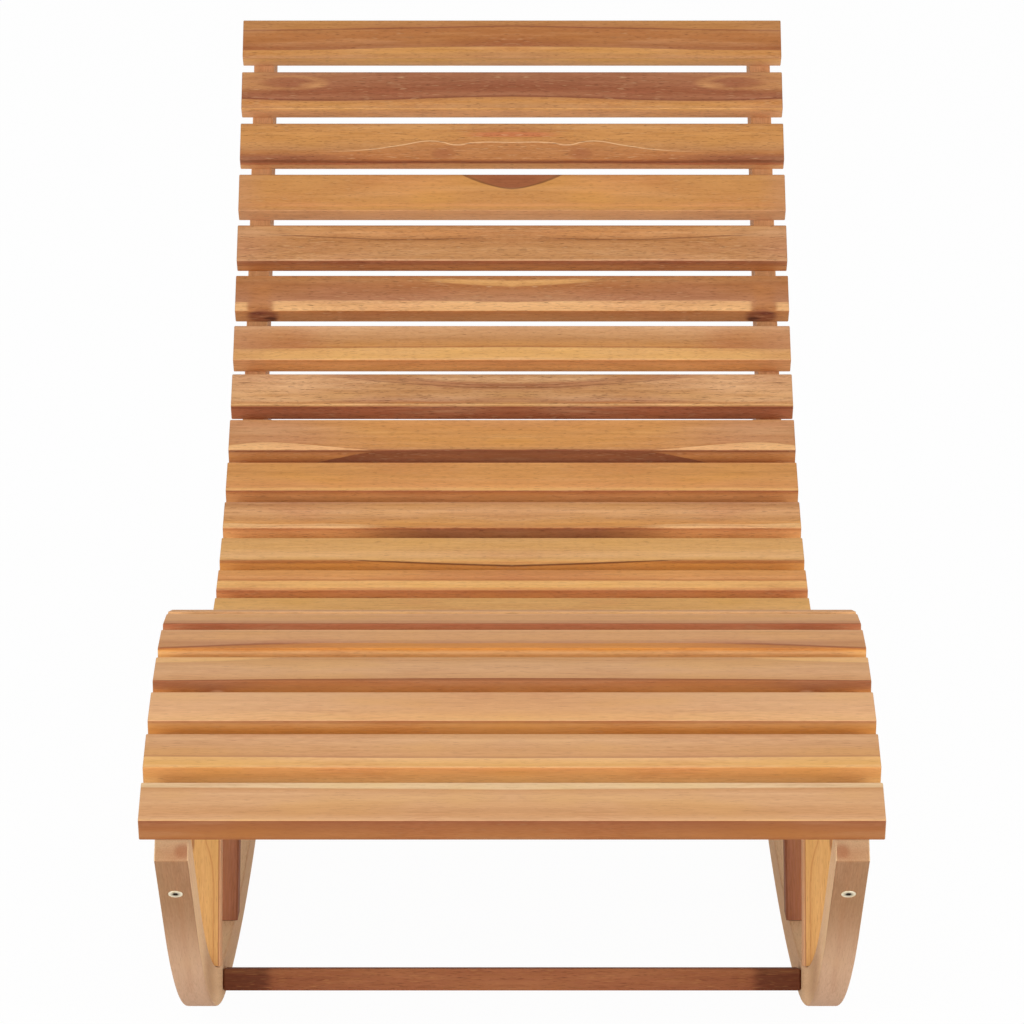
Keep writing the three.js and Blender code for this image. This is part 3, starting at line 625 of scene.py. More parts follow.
    SlatFigure(((0, T.TAN), (.4, T.STRAW), (.695, T.HONEY)), ((.70, T.COPPER), (1, T.TOFFEE))),
    SlatFigure(((0, T.HONEY), (.5, T.TAN), (.695, T.STRAW)), ((.70, T.RUSSET), (1, T.CINNAMON))),
    SlatFigure(((0, T.ROSE), (.4, T.TAN), (.695, T.HONEY)), ((.70, T.CINNAMON), (1, T.RUSSET)), figures=(
        vein(((0, .30), (.15, .36), (.3, .28)), T.RUSSET, .02, .6),)),
    SlatFigure(((0, T.STRAW), (.45, T.HONEY), (.695, T.TAN)), ((.70, T.COPPER), (1, T.CINNAMON)), figures=(
        Mark(.1, .2, .12, .12, T.CINNAMON, .5, .6),)),
    SlatFigure(((0, T.COPPER), (.4, T.TAN), (.5, T.STRAW), (.695, T.STRAW)), ((.70, T.COPPER), (1, T.CINNAMON))),
    SlatFigure(((0, T.HONEY), (.35, T.HONEY), (.5, T.COPPER), (.695, T.TAN)), ((.70, T.RUSSET), (1, T.CINNAMON))),
    SlatFigure(((0, T.SAND), (.4, T.TAN), (.695, T.STRAW)), ((.70, T.CINNAMON), (1, T.COPPER)), figures=(
        Streak(((0, .42), (.1, .46), (.3, .40)), .60, T.ROSE, .6, .02),)),
    SlatFigure(((0, T.TAN), (.3, T.ROSE), (.695, T.SAND)), ((.70, T.CINNAMON), (1, T.RUSSET))),
    SlatFigure(((0, T.SAND), (.4, T.PEACH), (.695, T.SAND)), ((.70, T.COPPER), (1, T.CINNAMON))),
    SlatFigure(((0, T.PEACH), (.4, T.SAND), (.695, T.PEACH)), ((.70, T.APRICOT), (1, T.SAND))),
    SlatFigure(
        ((0, T.PEACH), (.15, T.SAND), (.40, T.SAND), (.60, T.ROSE), (.662, T.TAN), (.672, T.RUSSET), (.695, T.RUSSET)),
        ((.70, T.RUSSET), (.80, T.CINNAMON), (1, T.COPPER)), light=(1.08, 1.27), fibres=.35, streaks=.3),
    SlatFigure(
        ((0, T.PEACH), (.10, T.SAND), (.35, T.SAND), (.47, T.ROSE), (.695, T.ROSE)),
        ((.70, T.AMBER), (.80, T.HONEY), (.90, T.APRICOT), (1, T.PEACH)),
        light=(1.06, 1.05), fibres=.35, wander=.02, streaks=.25, figures=(
            Streak(((0, .505), (.078, .525), (.154, .512), (.222, .570), (.264, .646), (.298, .698)), .75, T.AMBER, .75,
                   .012),
            Streak(((0, .505), (.078, .525), (.154, .512), (.222, .570), (.264, .646), (.298, .698)), .72, T.COPPER, .6,
                   .012, start=.19, fade=.06),
            vein(((.154, .520), (.222, .560), (.264, .636), (.298, .690)), T.RUSSET, .05, .85, start=.19, fade=.03),
            vein(.76, T.APRICOT, .05, .7))),
    SlatFigure(
        ((0, T.SAND), (.08, T.SAND), (.40, T.PEACH), (.66, T.SAND), (.672, T.RUSSET), (.695, T.CINNAMON)),
        ((.70, T.CINNAMON), (.77, T.COPPER), (.93, T.AMBER), (1, T.COPPER)),
        light=(0.93, 0.96), fibres=.3, wander=.01, streaks=.25,
        bow=((0, -.055), (.15, -.035), (.3, .01)), figures=(
            Streak(-1, ((.19, .0), (.23, .09), (.30, .16)), T.APRICOT, .85, .02, start=.2, fade=.02),
            vein(((0, .049), (.077, .092), (.14, .07)), T.TOFFEE, .02, .6, end=.17, fade=.05),
            Mark(.250, .84, .013, .08, T.RUSSET, .5, .6),
            Mark(.246, .85, .005, .03, T.PEACH, .5, .6),
            Streak(.68, .80, T.CHESTNUT, .5, .04, start=.22, fade=.04))),
    SlatFigure(
        ((0, T.SAND), (.06, T.PEACH), (.40, T.PEACH), (.60, T.APRICOT), (.68, T.APRICOT), (.695, T.PEACH)),
        ((.70, T.CINNAMON), (.75, T.HONEY), (.85, T.AMBER), (1, T.HONEY)),
        light=(0.95, 0.88), fibres=.25, streaks=.22, veins=.06, figures=(
            Streak(-1, .68, T.PEACH, .6, .1, start=.2, fade=.1),
            Streak(.04, .66, T.GINGER, .35, .1, end=.12, fade=.1))),
    SlatFigure(
        ((0, T.SAND), (.10, T.PEACH), (.30, T.SAND), (.42, T.SAND), (.462, T.ROSE), (.48, T.APRICOT),
         (.62, T.STRAW), (.66, T.APRICOT), (.695, T.STRAW)),
        ((.70, T.GINGER), (.78, T.HONEY), (.90, T.STRAW), (1, T.TAN)),
        light=(0.92, 0.98), fibres=.3, streaks=.25, wander=.02,
        bow=((0, .04), (.15, .02), (.3, 0)), figures=(
            Streak(.68, .85, T.HONEY, .5, .03, start=.12, fade=.1, wobble=.1),)),
    # slat_01: the cream band along its rear arris and the apricot line just above its front arris are painted
    # highlights.
    SlatFigure(
        ((0, T.CREAM), (.085, T.CREAM), (.105, T.SAND), (.20, T.PEACH), (.55, T.SAND), (.65, T.PEACH),
         (.68, T.APRICOT), (.695, T.PEACH)),
        ((.70, T.RUSSET), (.76, T.CINNAMON), (.95, T.COPPER), (1, T.CINNAMON)),
        light=(0.86, 0.80), fibres=.25, streaks=.28, wander=.012,
        bow=((0, .04), (.15, .018), (.3, 0))),
)


@dataclass(frozen=True)
class BoardFinish:
    """Finish of a plain board: its tones at both ends of a run, and how strong its figure is.

    The far tone is painted: lighter far along a runner, as painted light under the seat, and darker
    at a crossbar's ends, as the runners' painted shadow. The side tone is a lighter tone, painted
    light, on the side faces, and on a runner's upper faces too. A board that reads object
    coordinates has its side tone where the distance from the middle plane is less than the inner one.
    Figures read metres along the board and metres across, and those of the nose read its end face the
    same way.
    """

    name: str
    base: Tone
    dark: Tone
    pale: Tone
    far: Tone | None = None
    run: tuple[float, float] = (0.0, 1.0)
    painted_light_side: Tone | None = None
    inner: float = 0.0
    nose: Tone | None = None
    streaks: float = 0.4
    veins: float = 0.3
    pitch: float = 0.008
    fibres: float = 0.5
    blush: float = 0.4
    pores: float = 0.3
    seed: float = 1.0
    figures: tuple[Streak | Mark, ...] = ()
    nose_figures: tuple[Streak | Mark, ...] = ()


@dataclass(frozen=True)
class Woodwork:
    """Makes the wood materials from the shared groups.

    The sheen is the specular level of the oiled surface. The shares say how far the dark and the
    pale grain of a slat leave its own tone, and how far its ends are darkened.
    """

    groups: Groups
    sheen: float = 0.06
    relief_strength: float = 0.35
    relief_depth: float = 0.0003
    slat_seed: float = 3.7
    slat_vein_pitch: float = 0.0085
    dark_share: float = 0.5
    pale_share: float = 0.4
    end_share: float = 0.45
    flank_edge: float = 0.0003

    def _surface(self, name: str) -> tuple[bpy.types.Material, Graph, bpy.types.Node]:
        """Starts an oiled wood material and returns it with its graph and its shader."""
        material = bpy.data.materials.new(name)
        material.use_nodes = True
        graph = Graph(material.node_tree)
        shader = material.node_tree.nodes["Principled BSDF"]
        shader.inputs["Specular IOR Level"].default_value = self.sheen
        return material, graph, shader

    def _close(self, graph: Graph, shader: bpy.types.Node, colour: Socket, grain: bpy.types.Node) -> None:
        """Feeds colour, roughness and a fine relief into the shader."""
        graph.feed(shader.inputs["Base Color"], colour)
        graph.feed(shader.inputs["Roughness"], grain.outputs["Roughness"])
        bump = graph.node("ShaderNodeBump")
        bump.inputs["Strength"].default_value = self.relief_strength
        bump.inputs["Distance"].default_value = self.relief_depth
        graph.feed(bump.inputs["Height"], grain.outputs["Height"])
        graph.feed(shader.inputs["Normal"], bump.outputs["Normal"])

    def slat(self, number: int, figure: SlatFigure) -> bpy.types.Material:
        """Makes the material of one slat, book-matched about its middle.

        Args:
            number: the slat's number from the foot end.
            figure: its tones and the figures over them.

        Returns:
            The material.
        """
        material, graph, shader = self._surface(f"slat_{number:02d}_wood")
        seed = self.slat_seed * number
        along, across, height = graph.split(graph.attribute(BOARD).outputs["Vector"])
        along = graph.math("ABSOLUTE", along)
        share = graph.math("DIVIDE", along, FIGURE_REACH)
        girth = graph.attribute(GIRTH).outputs["Fac"]
        place = graph.place(self.groups.bands, Along=along, Girth=girth, Seed=seed, Wander=figure.wander)
        bowed = graph.math("SUBTRACT", place.outputs["Place"], self._level(graph, share, figure.bow))
        # The face and edge tones are scaled by the slat's light factors, which are partly painted light.
        base = graph.mix(graph.smooth(girth, *FRONT_ARRIS), self._ramp(graph, bowed, figure.face, figure.light[0]),
                         self._ramp(graph, girth, figure.edge, figure.light[1]))
        base = self._figured(graph, base, figure.figures, along, girth, seed)
        end = graph.attribute(END_GRAIN).outputs["Fac"]
        base = graph.mix(end, base, figure.face[1][1].colour)
        grain = graph.place(self.groups.timber, Board=graph.join(along, across, height), Seed=seed, Base=base,
                            Dark=graph.mix(self.dark_share, base, Tone.CHESTNUT.colour),
                            Pale=graph.mix(self.pale_share, base, Tone.CREAM.colour), Streaks=figure.streaks,
                            Veins=figure.veins, Vein_pitch=self.slat_vein_pitch, Fibres=figure.fibres,
                            Blush=figure.blush, Pores=figure.fibres)
        darkened = graph.math("MULTIPLY", end, self.end_share)
        colour = graph.mix(darkened, grain.outputs["Color"], Tone.CHESTNUT.colour)
        self._close(graph, shader, colour, grain)
        return material

    @staticmethod
    def _level(graph: Graph, share: Socket, level: Level) -> object:
        """Gives a level as a number, or a line's level at a share of the way to the board's end."""
        if not isinstance(level, tuple):
            return float(level)
        return graph.curve(share, tuple((along / FIGURE_REACH, place) for along, place in level))

    @staticmethod
    def _ramp(graph: Graph, place: Socket, bands: tuple[tuple[float, Tone], ...], light: float) -> Socket:
        """Gives the tone of a place among bands of tone, all lighter or darker by a factor that is partly painted
        light.
        """
        ramp = graph.node("ShaderNodeValToRGB")
        elements = ramp.color_ramp.elements
        while len(elements) < len(bands):
            elements.new(0.5)
        for element, (position, _) in zip(elements, bands):
            element.position = position
        for element, (_, tone) in zip(elements, bands):
            element.color = (*(part * light for part in tone.colour[:3]), 1.0)
        graph.feed(ramp.inputs["Fac"], place)
        return ramp.outputs["Color"]

    def _figured(self, graph: Graph, base: object, figures: tuple[Streak | Mark, ...], along: Socket,
                 girth: Socket, seed: float) -> object:
        """Lays figures over a colour, one after the other, and returns the new colour."""
        share = graph.math("DIVIDE", along, FIGURE_REACH)
        for count, item in enumerate(figures):
            if isinstance(item, Streak):
                base = self._streaked(graph, base, item, along, share, girth, seed + count)
            else:
                base = self._marked(graph, base, item, along, girth, seed + count)
        return base

    def _streaked(self, graph: Graph, base: object, streak: Streak, along: Socket, share: Socket, girth: Socket,
                  seed: float) -> Socket:
        """Lays one streak over a colour and returns the new colour."""
        made = graph.place(self.groups.streak, Along=along, Girth=girth, Seed=seed,
                           Upper=self._level(graph, share, streak.upper),
                           Lower=self._level(graph, share, streak.lower), Start=streak.start, End=streak.end,
                           Fade=streak.fade, Softness=streak.softness, Wobble=streak.wobble)
        return graph.mix(graph.math("MULTIPLY", made.outputs["Inside"], streak.strength), base, streak.tone.colour)

    def _marked(self, graph: Graph, base: object, mark: Mark, along: Socket, girth: Socket, seed: float) -> Socket:
        """Lays one mark over a colour and returns the new colour."""
        made = graph.place(self.groups.mark, Along=along, Girth=girth, Seed=seed, Centre=mark.along,
                           Level=mark.level, Reach=mark.reach, Height=mark.height, Softness=mark.softness,
                           Tilt=mark.tilt, Sway=mark.sway)
        mask = made.outputs["Rim" if mark.rim else "Inside"]
        return graph.mix(graph.math("MULTIPLY", mask, mark.strength), base, mark.tone.colour)

    def board(self, finish: BoardFinish, turn: float | None = None) -> bpy.types.Material:
        """Makes the material of a plain board.

        Args:
            finish: its tones and figure.
            turn: the board's angle in the side view where it reads object coordinates, or None
                where its mesh carries the board attribute.

        Returns:
            The material.
        """
        material, graph, shader = self._surface(finish.name)
        if turn is None:
            vector = graph.attribute(BOARD).outputs["Vector"]
        else:
            side, along, height = self._turned(graph, turn)
            vector = graph.join(along, graph.math("ABSOLUTE", side), height)
        self._grained(graph, shader, finish, vector, graph.split(vector)[0])
        return material

    def crossbar(self, finish: BoardFinish, turn: float) -> bpy.types.Material:
        """Makes the material of a crossbar, whose grain runs across and is book-matched."""
        material, graph, shader = self._surface(finish.name)
        side, across, height = self._turned(graph, turn)
        along = graph.math("ABSOLUTE", side)
        self._grained(graph, shader, finish, graph.join(along, across, height), along)
        return material

    @staticmethod
    def _turned(graph: Graph, turn: float) -> list[Socket]:
        """Gives object coordinates turned in the side view."""
        source = graph.node("ShaderNodeTexCoord")
        mapping = graph.node("ShaderNodeMapping")
        mapping.vector_type = "TEXTURE"
        mapping.inputs["Rotation"].default_value = (turn, 0.0, 0.0)
        graph.feed(mapping.inputs["Vector"], source.outputs["Object"])
        return graph.split(mapping.outputs["Vector"])

    def _grained(self, graph: Graph, shader: bpy.types.Node, finish: BoardFinish, vector: Socket,
                 along: Socket) -> None:
        """Lays the grain of a plain board over its tones and closes its material."""
        base: object = finish.base.colour
        # Painted light and shade along the run: a runner is lighter far from its nose, under the seat, and a crossbar
        # is darker at its ends, as the runners' shadow.
        if finish.far:
            base = graph.mix(graph.smooth(along, *finish.run), base, finish.far.colour)
        _, across, height = graph.split(vector)
        # Painted light: the side faces, and a runner's upper faces, get a lighter tone.
        if finish.painted_light_side:
            painted_light_side = graph.attribute(PAINTED_LIGHT_SIDES).outputs["Fac"]
            if finish.inner:
                painted_light_side = graph.smooth(across, finish.inner + self.flank_edge, finish.inner)
            base = graph.mix(painted_light_side, base, finish.painted_light_side.colour)
        base = self._figured(graph, base, finish.figures, along, across, finish.seed)
        if finish.nose:
            nose = self._figured(graph, finish.nose.colour, finish.nose_figures, across, height, finish.seed)
            base = graph.mix(graph.attribute(END_GRAIN).outputs["Fac"], base, nose)
        grain = graph.place(self.groups.timber, Board=vector, Seed=finish.seed, Base=base, Dark=finish.dark.colour,
                            Pale=finish.pale.colour, Streaks=finish.streaks, Veins=finish.veins,
                            Vein_pitch=finish.pitch, Fibres=finish.fibres, Blush=finish.blush, Pores=finish.pores)
        self._close(graph, shader, grain.outputs["Color"], grain)


@dataclass(frozen=True)
class MetalFinish:
    """Finish of a metal fitting: its own colour, its dulled colour, and the dark painted shade in its socket."""

    name: str
    base: str
    dull: str
    shades_socket: bool = False
    painted_shade: str = "24160F"
    relief_strength: float = 0.2
    relief_depth: float = 0.00005

    def material(self, groups: Groups) -> bpy.types.Material:
        """Makes the metal's material from the shared scuffs, with painted shade inside a socket: dark, rough and not
        metallic there.
        """
        material = bpy.data.materials.new(self.name)
        material.use_nodes = True
        graph = Graph(material.node_tree)
        shader = material.node_tree.nodes["Principled BSDF"]
        source = graph.node("ShaderNodeTexCoord")
        scuffs = graph.place(groups.scuffs, Vector=source.outputs["Object"], Base=from_hex(self.base),
                             Dull=from_hex(self.dull))
        colour, rough = scuffs.outputs["Color"], scuffs.outputs["Roughness"]
        shader.inputs["Metallic"].default_value = 1.0
        # Painted shade: the socket's inside is darkened, made rough and not metallic.
        if self.shades_socket:
            inside = graph.attribute(SOCKET_SHADE).outputs["Fac"]
            colour = graph.mix(inside, colour, from_hex(self.painted_shade))
            rough = graph.math("ADD", rough, inside, clamp=True)
            graph.feed(shader.inputs["Metallic"], graph.math("SUBTRACT", 1.0, inside))
        graph.feed(shader.inputs["Base Color"], colour)
        graph.feed(shader.inputs["Roughness"], rough)
        bump = graph.node("ShaderNodeBump")
        bump.inputs["Strength"].default_value = self.relief_strength
        bump.inputs["Distance"].default_value = self.relief_depth
        graph.feed(bump.inputs["Height"], scuffs.outputs["Height"])
        graph.feed(shader.inputs["Normal"], bump.outputs["Normal"])
        return material


class SidePath:
    """A line in the side view, made of straight and round stretches that run on smoothly."""

    straight_below: float = 1e-9
    samples: int = 4000

    def __init__(self, y: float, z: float, slope: float) -> None:
        """Starts at a point with a slope in radians."""
        self.end = (y, z, slope)
        self.length = 0.0
        self.stretches: list[tuple[float, float, float, float, float]] = []

    def add(self, curvature: float, length: float) -> "SidePath":
        """Adds a stretch of steady curvature and returns the path."""
        self.stretches.append((self.length, *self.end, curvature))
        self.length += length
        y, z, slope = self.at(np.array([self.length]))
        self.end = (float(y[0]), float(z[0]), float(slope[0]))
        return self

    def arc(self, radius: float, end_slope: float) -> "SidePath":
        """Adds an arc of a radius up to a slope."""
        turn = end_slope - self.end[2]
        return self.add(math.copysign(1 / radius, turn), abs(turn) * radius)

    def at(self, distance: np.ndarray) -> tuple[np.ndarray, np.ndarray, np.ndarray]:
        """Gives points on the path.

        On a stretch of curvature k the slope grows by k times the distance, and the point moves
        by the difference of the sines and cosines of the slopes over k.

        Args:
            distance: distances along the path.

        Returns:
            The points' y, z and slope.
        """
        table = np.array(self.stretches)
        index = np.clip(np.searchsorted(table[:, 0], distance, side="right") - 1, 0, len(table) - 1)
        begin, y0, z0, slope0, curvature = table[index].T
        run = distance - begin
        straight = np.abs(curvature) < self.straight_below
        k = np.where(straight, 1.0, curvature)
        slope = slope0 + curvature * run
        y = np.where(straight, y0 + np.cos(slope0) * run, y0 + (np.sin(slope) - np.sin(slope0)) / k)
        z = np.where(straight, z0 + np.sin(slope0) * run, z0 - (np.cos(slope) - np.cos(slope0)) / k)
        return y, z, slope

    def nearest(self, points: np.ndarray) -> tuple[np.ndarray, np.ndarray]:
        """Gives the distances along the path nearest to points, and the points' heights above it."""
        samples = np.linspace(0.0, self.length, self.samples)
        y, z, slope = self.at(samples)
        index = np.argmin((points[:, :1] - y) ** 2 + (points[:, 1:] - z) ** 2, axis=1)
        height = (points[:, 1] - z[index]) * np.cos(slope[index]) - (points[:, 0] - y[index]) * np.sin(slope[index])
        return samples[index], height

    def beside(self, distance: np.ndarray, above: np.ndarray | float) -> np.ndarray:
        """Gives points a height above the path, square to it, as rows of y and z."""
        y, z, slope = self.at(distance)
        return np.stack([y - np.sin(slope) * above, z + np.cos(slope) * above], axis=1)


@dataclass(frozen=True)
class ChaiseSizes:
    """Sizes that the seat, the rails and the runners share, in metres and degrees.

    The reference slat, counted from 0 at the foot end, is the one that lines up with its node.
    """

    seat_start_height: float = 0.349
    seat_slopes: tuple[float, ...] = (25.8, 6.0, -31.8, 43.6)
    seat_radii: tuple[float, ...] = (0.776, 0.434, 0.771, 2.329)
    slat_count: int = 30
    slat_length: float = 0.600
    slat_width: float = 0.0468
    slat_thickness: float = 0.0205
    slat_pitch: float = 0.0657
    first_slat: float = 0.020
    reference_slat: int = 14
    outer_face: float = 0.288
    rail_thickness: float = 0.0225
    rail_drop: float = 0.0208
    rail_depth: float = 0.070
    rail_end_round: float = 0.014
    runner_thickness: float = 0.0275
    runner_depth: float = 0.035
    nose_inset: float = 0.0214
    nose_slope: float = 43.0
    front_bend_radius: float = 0.720
    sole_radius: float = 2.900
    sole_rear_slope: float = 4.0
    sole_contact: float = 0.900
    rear_joint_share: float = 0.77
    joint_gap: float = 0.0003
    front_bolt_from_tip: float = 0.063
    rear_bolt_from_end: float = 0.033
    crossbar_places: tuple[float, float] = (-0.448, 0.380)
    crossbar_tilts: tuple[float, float] = (-17.5, 24.0)
    post_leans: tuple[float, float, float] = (-20.0, -31.0, 16.0)

    @property
    def rail_length(self) -> float:
        """Distance along the seat line to the rail's head end."""
        return self.first_slat + (self.slat_count - 1) * self.slat_pitch + self.slat_width / 2

    @property
    def rail_underside(self) -> float:
        """Depth of the rail's underside below the seat line."""
        return self.rail_drop + self.rail_depth


class Lines:
    """The seat line and the runner's lower edge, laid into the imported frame's place."""

    def __init__(self, sizes: ChaiseSizes) -> None:
        """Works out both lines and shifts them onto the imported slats.

        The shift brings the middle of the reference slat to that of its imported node.
        """
        self.sizes = sizes
        start = self._seat(0.0)
        places = start.at(np.array([sizes.first_slat + sizes.reference_slat * sizes.slat_pitch]))
        y, z, slope = (float(part[0]) for part in places)
        centre_y = y + math.sin(slope) * sizes.slat_thickness / 2
        centre_z = z - math.cos(slope) * sizes.slat_thickness / 2
        low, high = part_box("slat_15")
        self.shift_y = (low[1] + high[1]) / 2 - centre_y
        self.shift_z = (low[2] + high[2]) / 2 - centre_z
        self.seat = self._seat(self.shift_y, self.shift_z)
        self.runner, self.contact = self._runner()

    def _seat(self, y: float, z: float = 0.0) -> SidePath:
        """Builds the seat line from four arcs."""
        sizes = self.sizes
        slopes = [math.radians(value) for value in sizes.seat_slopes]
        path = SidePath(y, sizes.seat_start_height + z, slopes[0])
        for radius, slope in zip(sizes.seat_radii, slopes[1:]):
            path.arc(radius, slope)
        return path.add(1 / sizes.seat_radii[-1], sizes.slat_pitch)

    def slat_place(self, index: int) -> tuple[float, float, float]:
        """Gives the y and z of the middle of a slat's top face, and its slope."""
        sizes = self.sizes
        place = self.seat.at(np.array([sizes.first_slat + index * sizes.slat_pitch]))
        return tuple(float(part[0]) for part in place)

    def bolt(self, name: str) -> tuple[Vector, Vector, float]:
        """Finds a bolt's head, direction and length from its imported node."""
        side = 1.0 if name.endswith("right") else -1.0
        sizes, line = self.sizes, self.runner
        low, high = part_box(name)
        if "crossbar" in name:
            place = sizes.crossbar_places[0 if name.startswith("front") else 1]
            point = line.beside(np.array([self.contact + place]), sizes.runner_depth / 2)[0]
            return Vector((side * sizes.outer_face, *point)), Vector((-side, 0, 0)), high[0] - low[0]
        run = sizes.front_bolt_from_tip if name.startswith("front") else line.length - sizes.rear_bolt_from_end
        y, z, slope = (float(part[0]) for part in line.at(np.array([run])))
        head = Vector((side * (sizes.outer_face - sizes.runner_thickness / 2), y, z))
        direction = Vector((0, -math.sin(slope), math.cos(slope)))
        middle = (Vector(low) + Vector(high)) / 2
        return head, direction, 2 * (middle - head).dot(direction)

    def _runner(self) -> tuple[SidePath, float]:
        """Builds the runner's lower edge: straight nose, bend, sole and rear bend.

        The bend and the sole meet at the slope at which the nose runs out straight to its corner
        under the first slat. The rear bend's chord leads to the rail's underside.

        Returns:
            The edge, and the distance along it at which it touches the floor.
        """
        sizes = self.sizes
        nose = math.radians(sizes.nose_slope)
        y, z, slope = self.slat_place(0)
        along = sizes.nose_inset - sizes.slat_width / 2
        corner_y = y + math.cos(slope) * along + math.sin(slope) * sizes.rail_drop
        corner_z = z + math.sin(slope) * along - math.cos(slope) * sizes.rail_drop
        tip_y = corner_y - math.sin(nose) * sizes.runner_depth
        tip_z = corner_z - math.cos(nose) * sizes.runner_depth
        run = sizes.sole_contact + self.shift_y - tip_y
        drop = tip_z - self.shift_z
        bend, sole = sizes.front_bend_radius, sizes.sole_radius
        rise = run * math.sin(nose) - drop * math.cos(nose)
        sole_start = nose - math.acos((rise - bend + sole * math.cos(nose)) / (sole - bend))
        bend_run = bend * (math.sin(nose) - math.sin(sole_start))
        path = SidePath(tip_y, tip_z, -nose)
        path.add(0.0, (run - bend_run - sole * math.sin(sole_start)) / math.cos(nose))
        path.arc(bend, -sole_start)
        contact = path.length + sole * sole_start
        path.arc(sole, math.radians(sizes.sole_rear_slope))
        joint = self.seat.beside(np.array([sizes.rear_joint_share * sizes.rail_length]), -sizes.rail_underside)[0]
        end_y, end_z, end_slope = path.end
        chord = math.atan2(joint[1] - end_z, joint[0] - end_y)
        last = 2 * chord - end_slope
        path.arc((joint[0] - end_y) / (math.sin(last) - math.sin(end_slope)), last)
        return path, contact


def make_object(name: str, points: np.ndarray, faces: Faces, attributes: dict[str, np.ndarray]) -> bpy.types.Object:
    """Makes a mesh object at the origin.

    Args:
        name: the piece's name.
        points: one row of x, y and z for each vertex.
        faces: the vertex numbers of each face.
        attributes: arrays of one number or of three numbers for each vertex, by name.

    Returns:
        The new object, shaded smooth.
    """
    mesh = bpy.data.meshes.new(name)
    mesh.from_pydata(points.tolist(), [], faces)
    for label, values in attributes.items():
        vector = values.ndim == 2
        layer = mesh.attributes.new(label, "FLOAT_VECTOR" if vector else "FLOAT", "POINT")
        layer.data.foreach_set("vector" if vector else "value", values.astype(np.float32).ravel())
    mesh.polygons.foreach_set("use_smooth", np.ones(len(mesh.polygons), dtype=bool))
    mesh.update()
    made = bpy.data.objects.new(name, mesh)
    bpy.context.scene.collection.objects.link(made)
    return made


def tube_faces(rings: int, sides: int) -> Faces:
    """Quads between neighbouring closed rings of a grid, facing out of a tube that turns left-handed."""
    ring = np.arange(rings - 1)[:, None] * sides
    side = np.arange(sides)[None, :]
    after = (side + 1) % sides
    quads = np.stack([ring + side, ring + after, ring + sides + after, ring + sides + side], axis=-1)
    return [tuple(quad) for quad in quads.reshape(-1, 4).tolist()]


def closed_tube_faces(rings: int, sides: int) -> Faces:
    """Faces of such a tube with a fan at each end, round two tips that follow the rings' vertices."""
    count, last = rings * sides, (rings - 1) * sides
    turns = [(side, (side + 1) % sides) for side in range(sides)]
    faces = tube_faces(rings, sides)
    faces += [(count, after, side) for side, after in turns]
    faces += [(count + 1, last + side, last + after) for side, after in turns]
    return faces


def settle(piece: bpy.types.Object) -> bpy.types.Object:
    """Applies a piece's modifiers to its mesh and returns the piece."""
    graph = bpy.context.evaluated_depsgraph_get()
    mesh = bpy.data.meshes.new_from_object(piece.evaluated_get(graph))
    piece.modifiers.clear()
    piece.data = mesh
    return piece


def face_outwards(piece: bpy.types.Object) -> None:
    """Turns the faces of a closed piece outwards where its volume comes out negative."""
    mesh = piece.data
    mesh.calc_loop_triangles()
    points = np.empty(len(mesh.vertices) * 3)
    mesh.vertices.foreach_get("co", points)
    corners = np.empty(len(mesh.loop_triangles) * 3, dtype=int)
    mesh.loop_triangles.foreach_get("vertices", corners)
    a, b, c = points.reshape(-1, 3)[corners.reshape(-1, 3)].transpose(1, 0, 2)
    if np.einsum("ij,ij->i", a, np.cross(b, c)).sum() < 0:
        mesh.flip_normals()


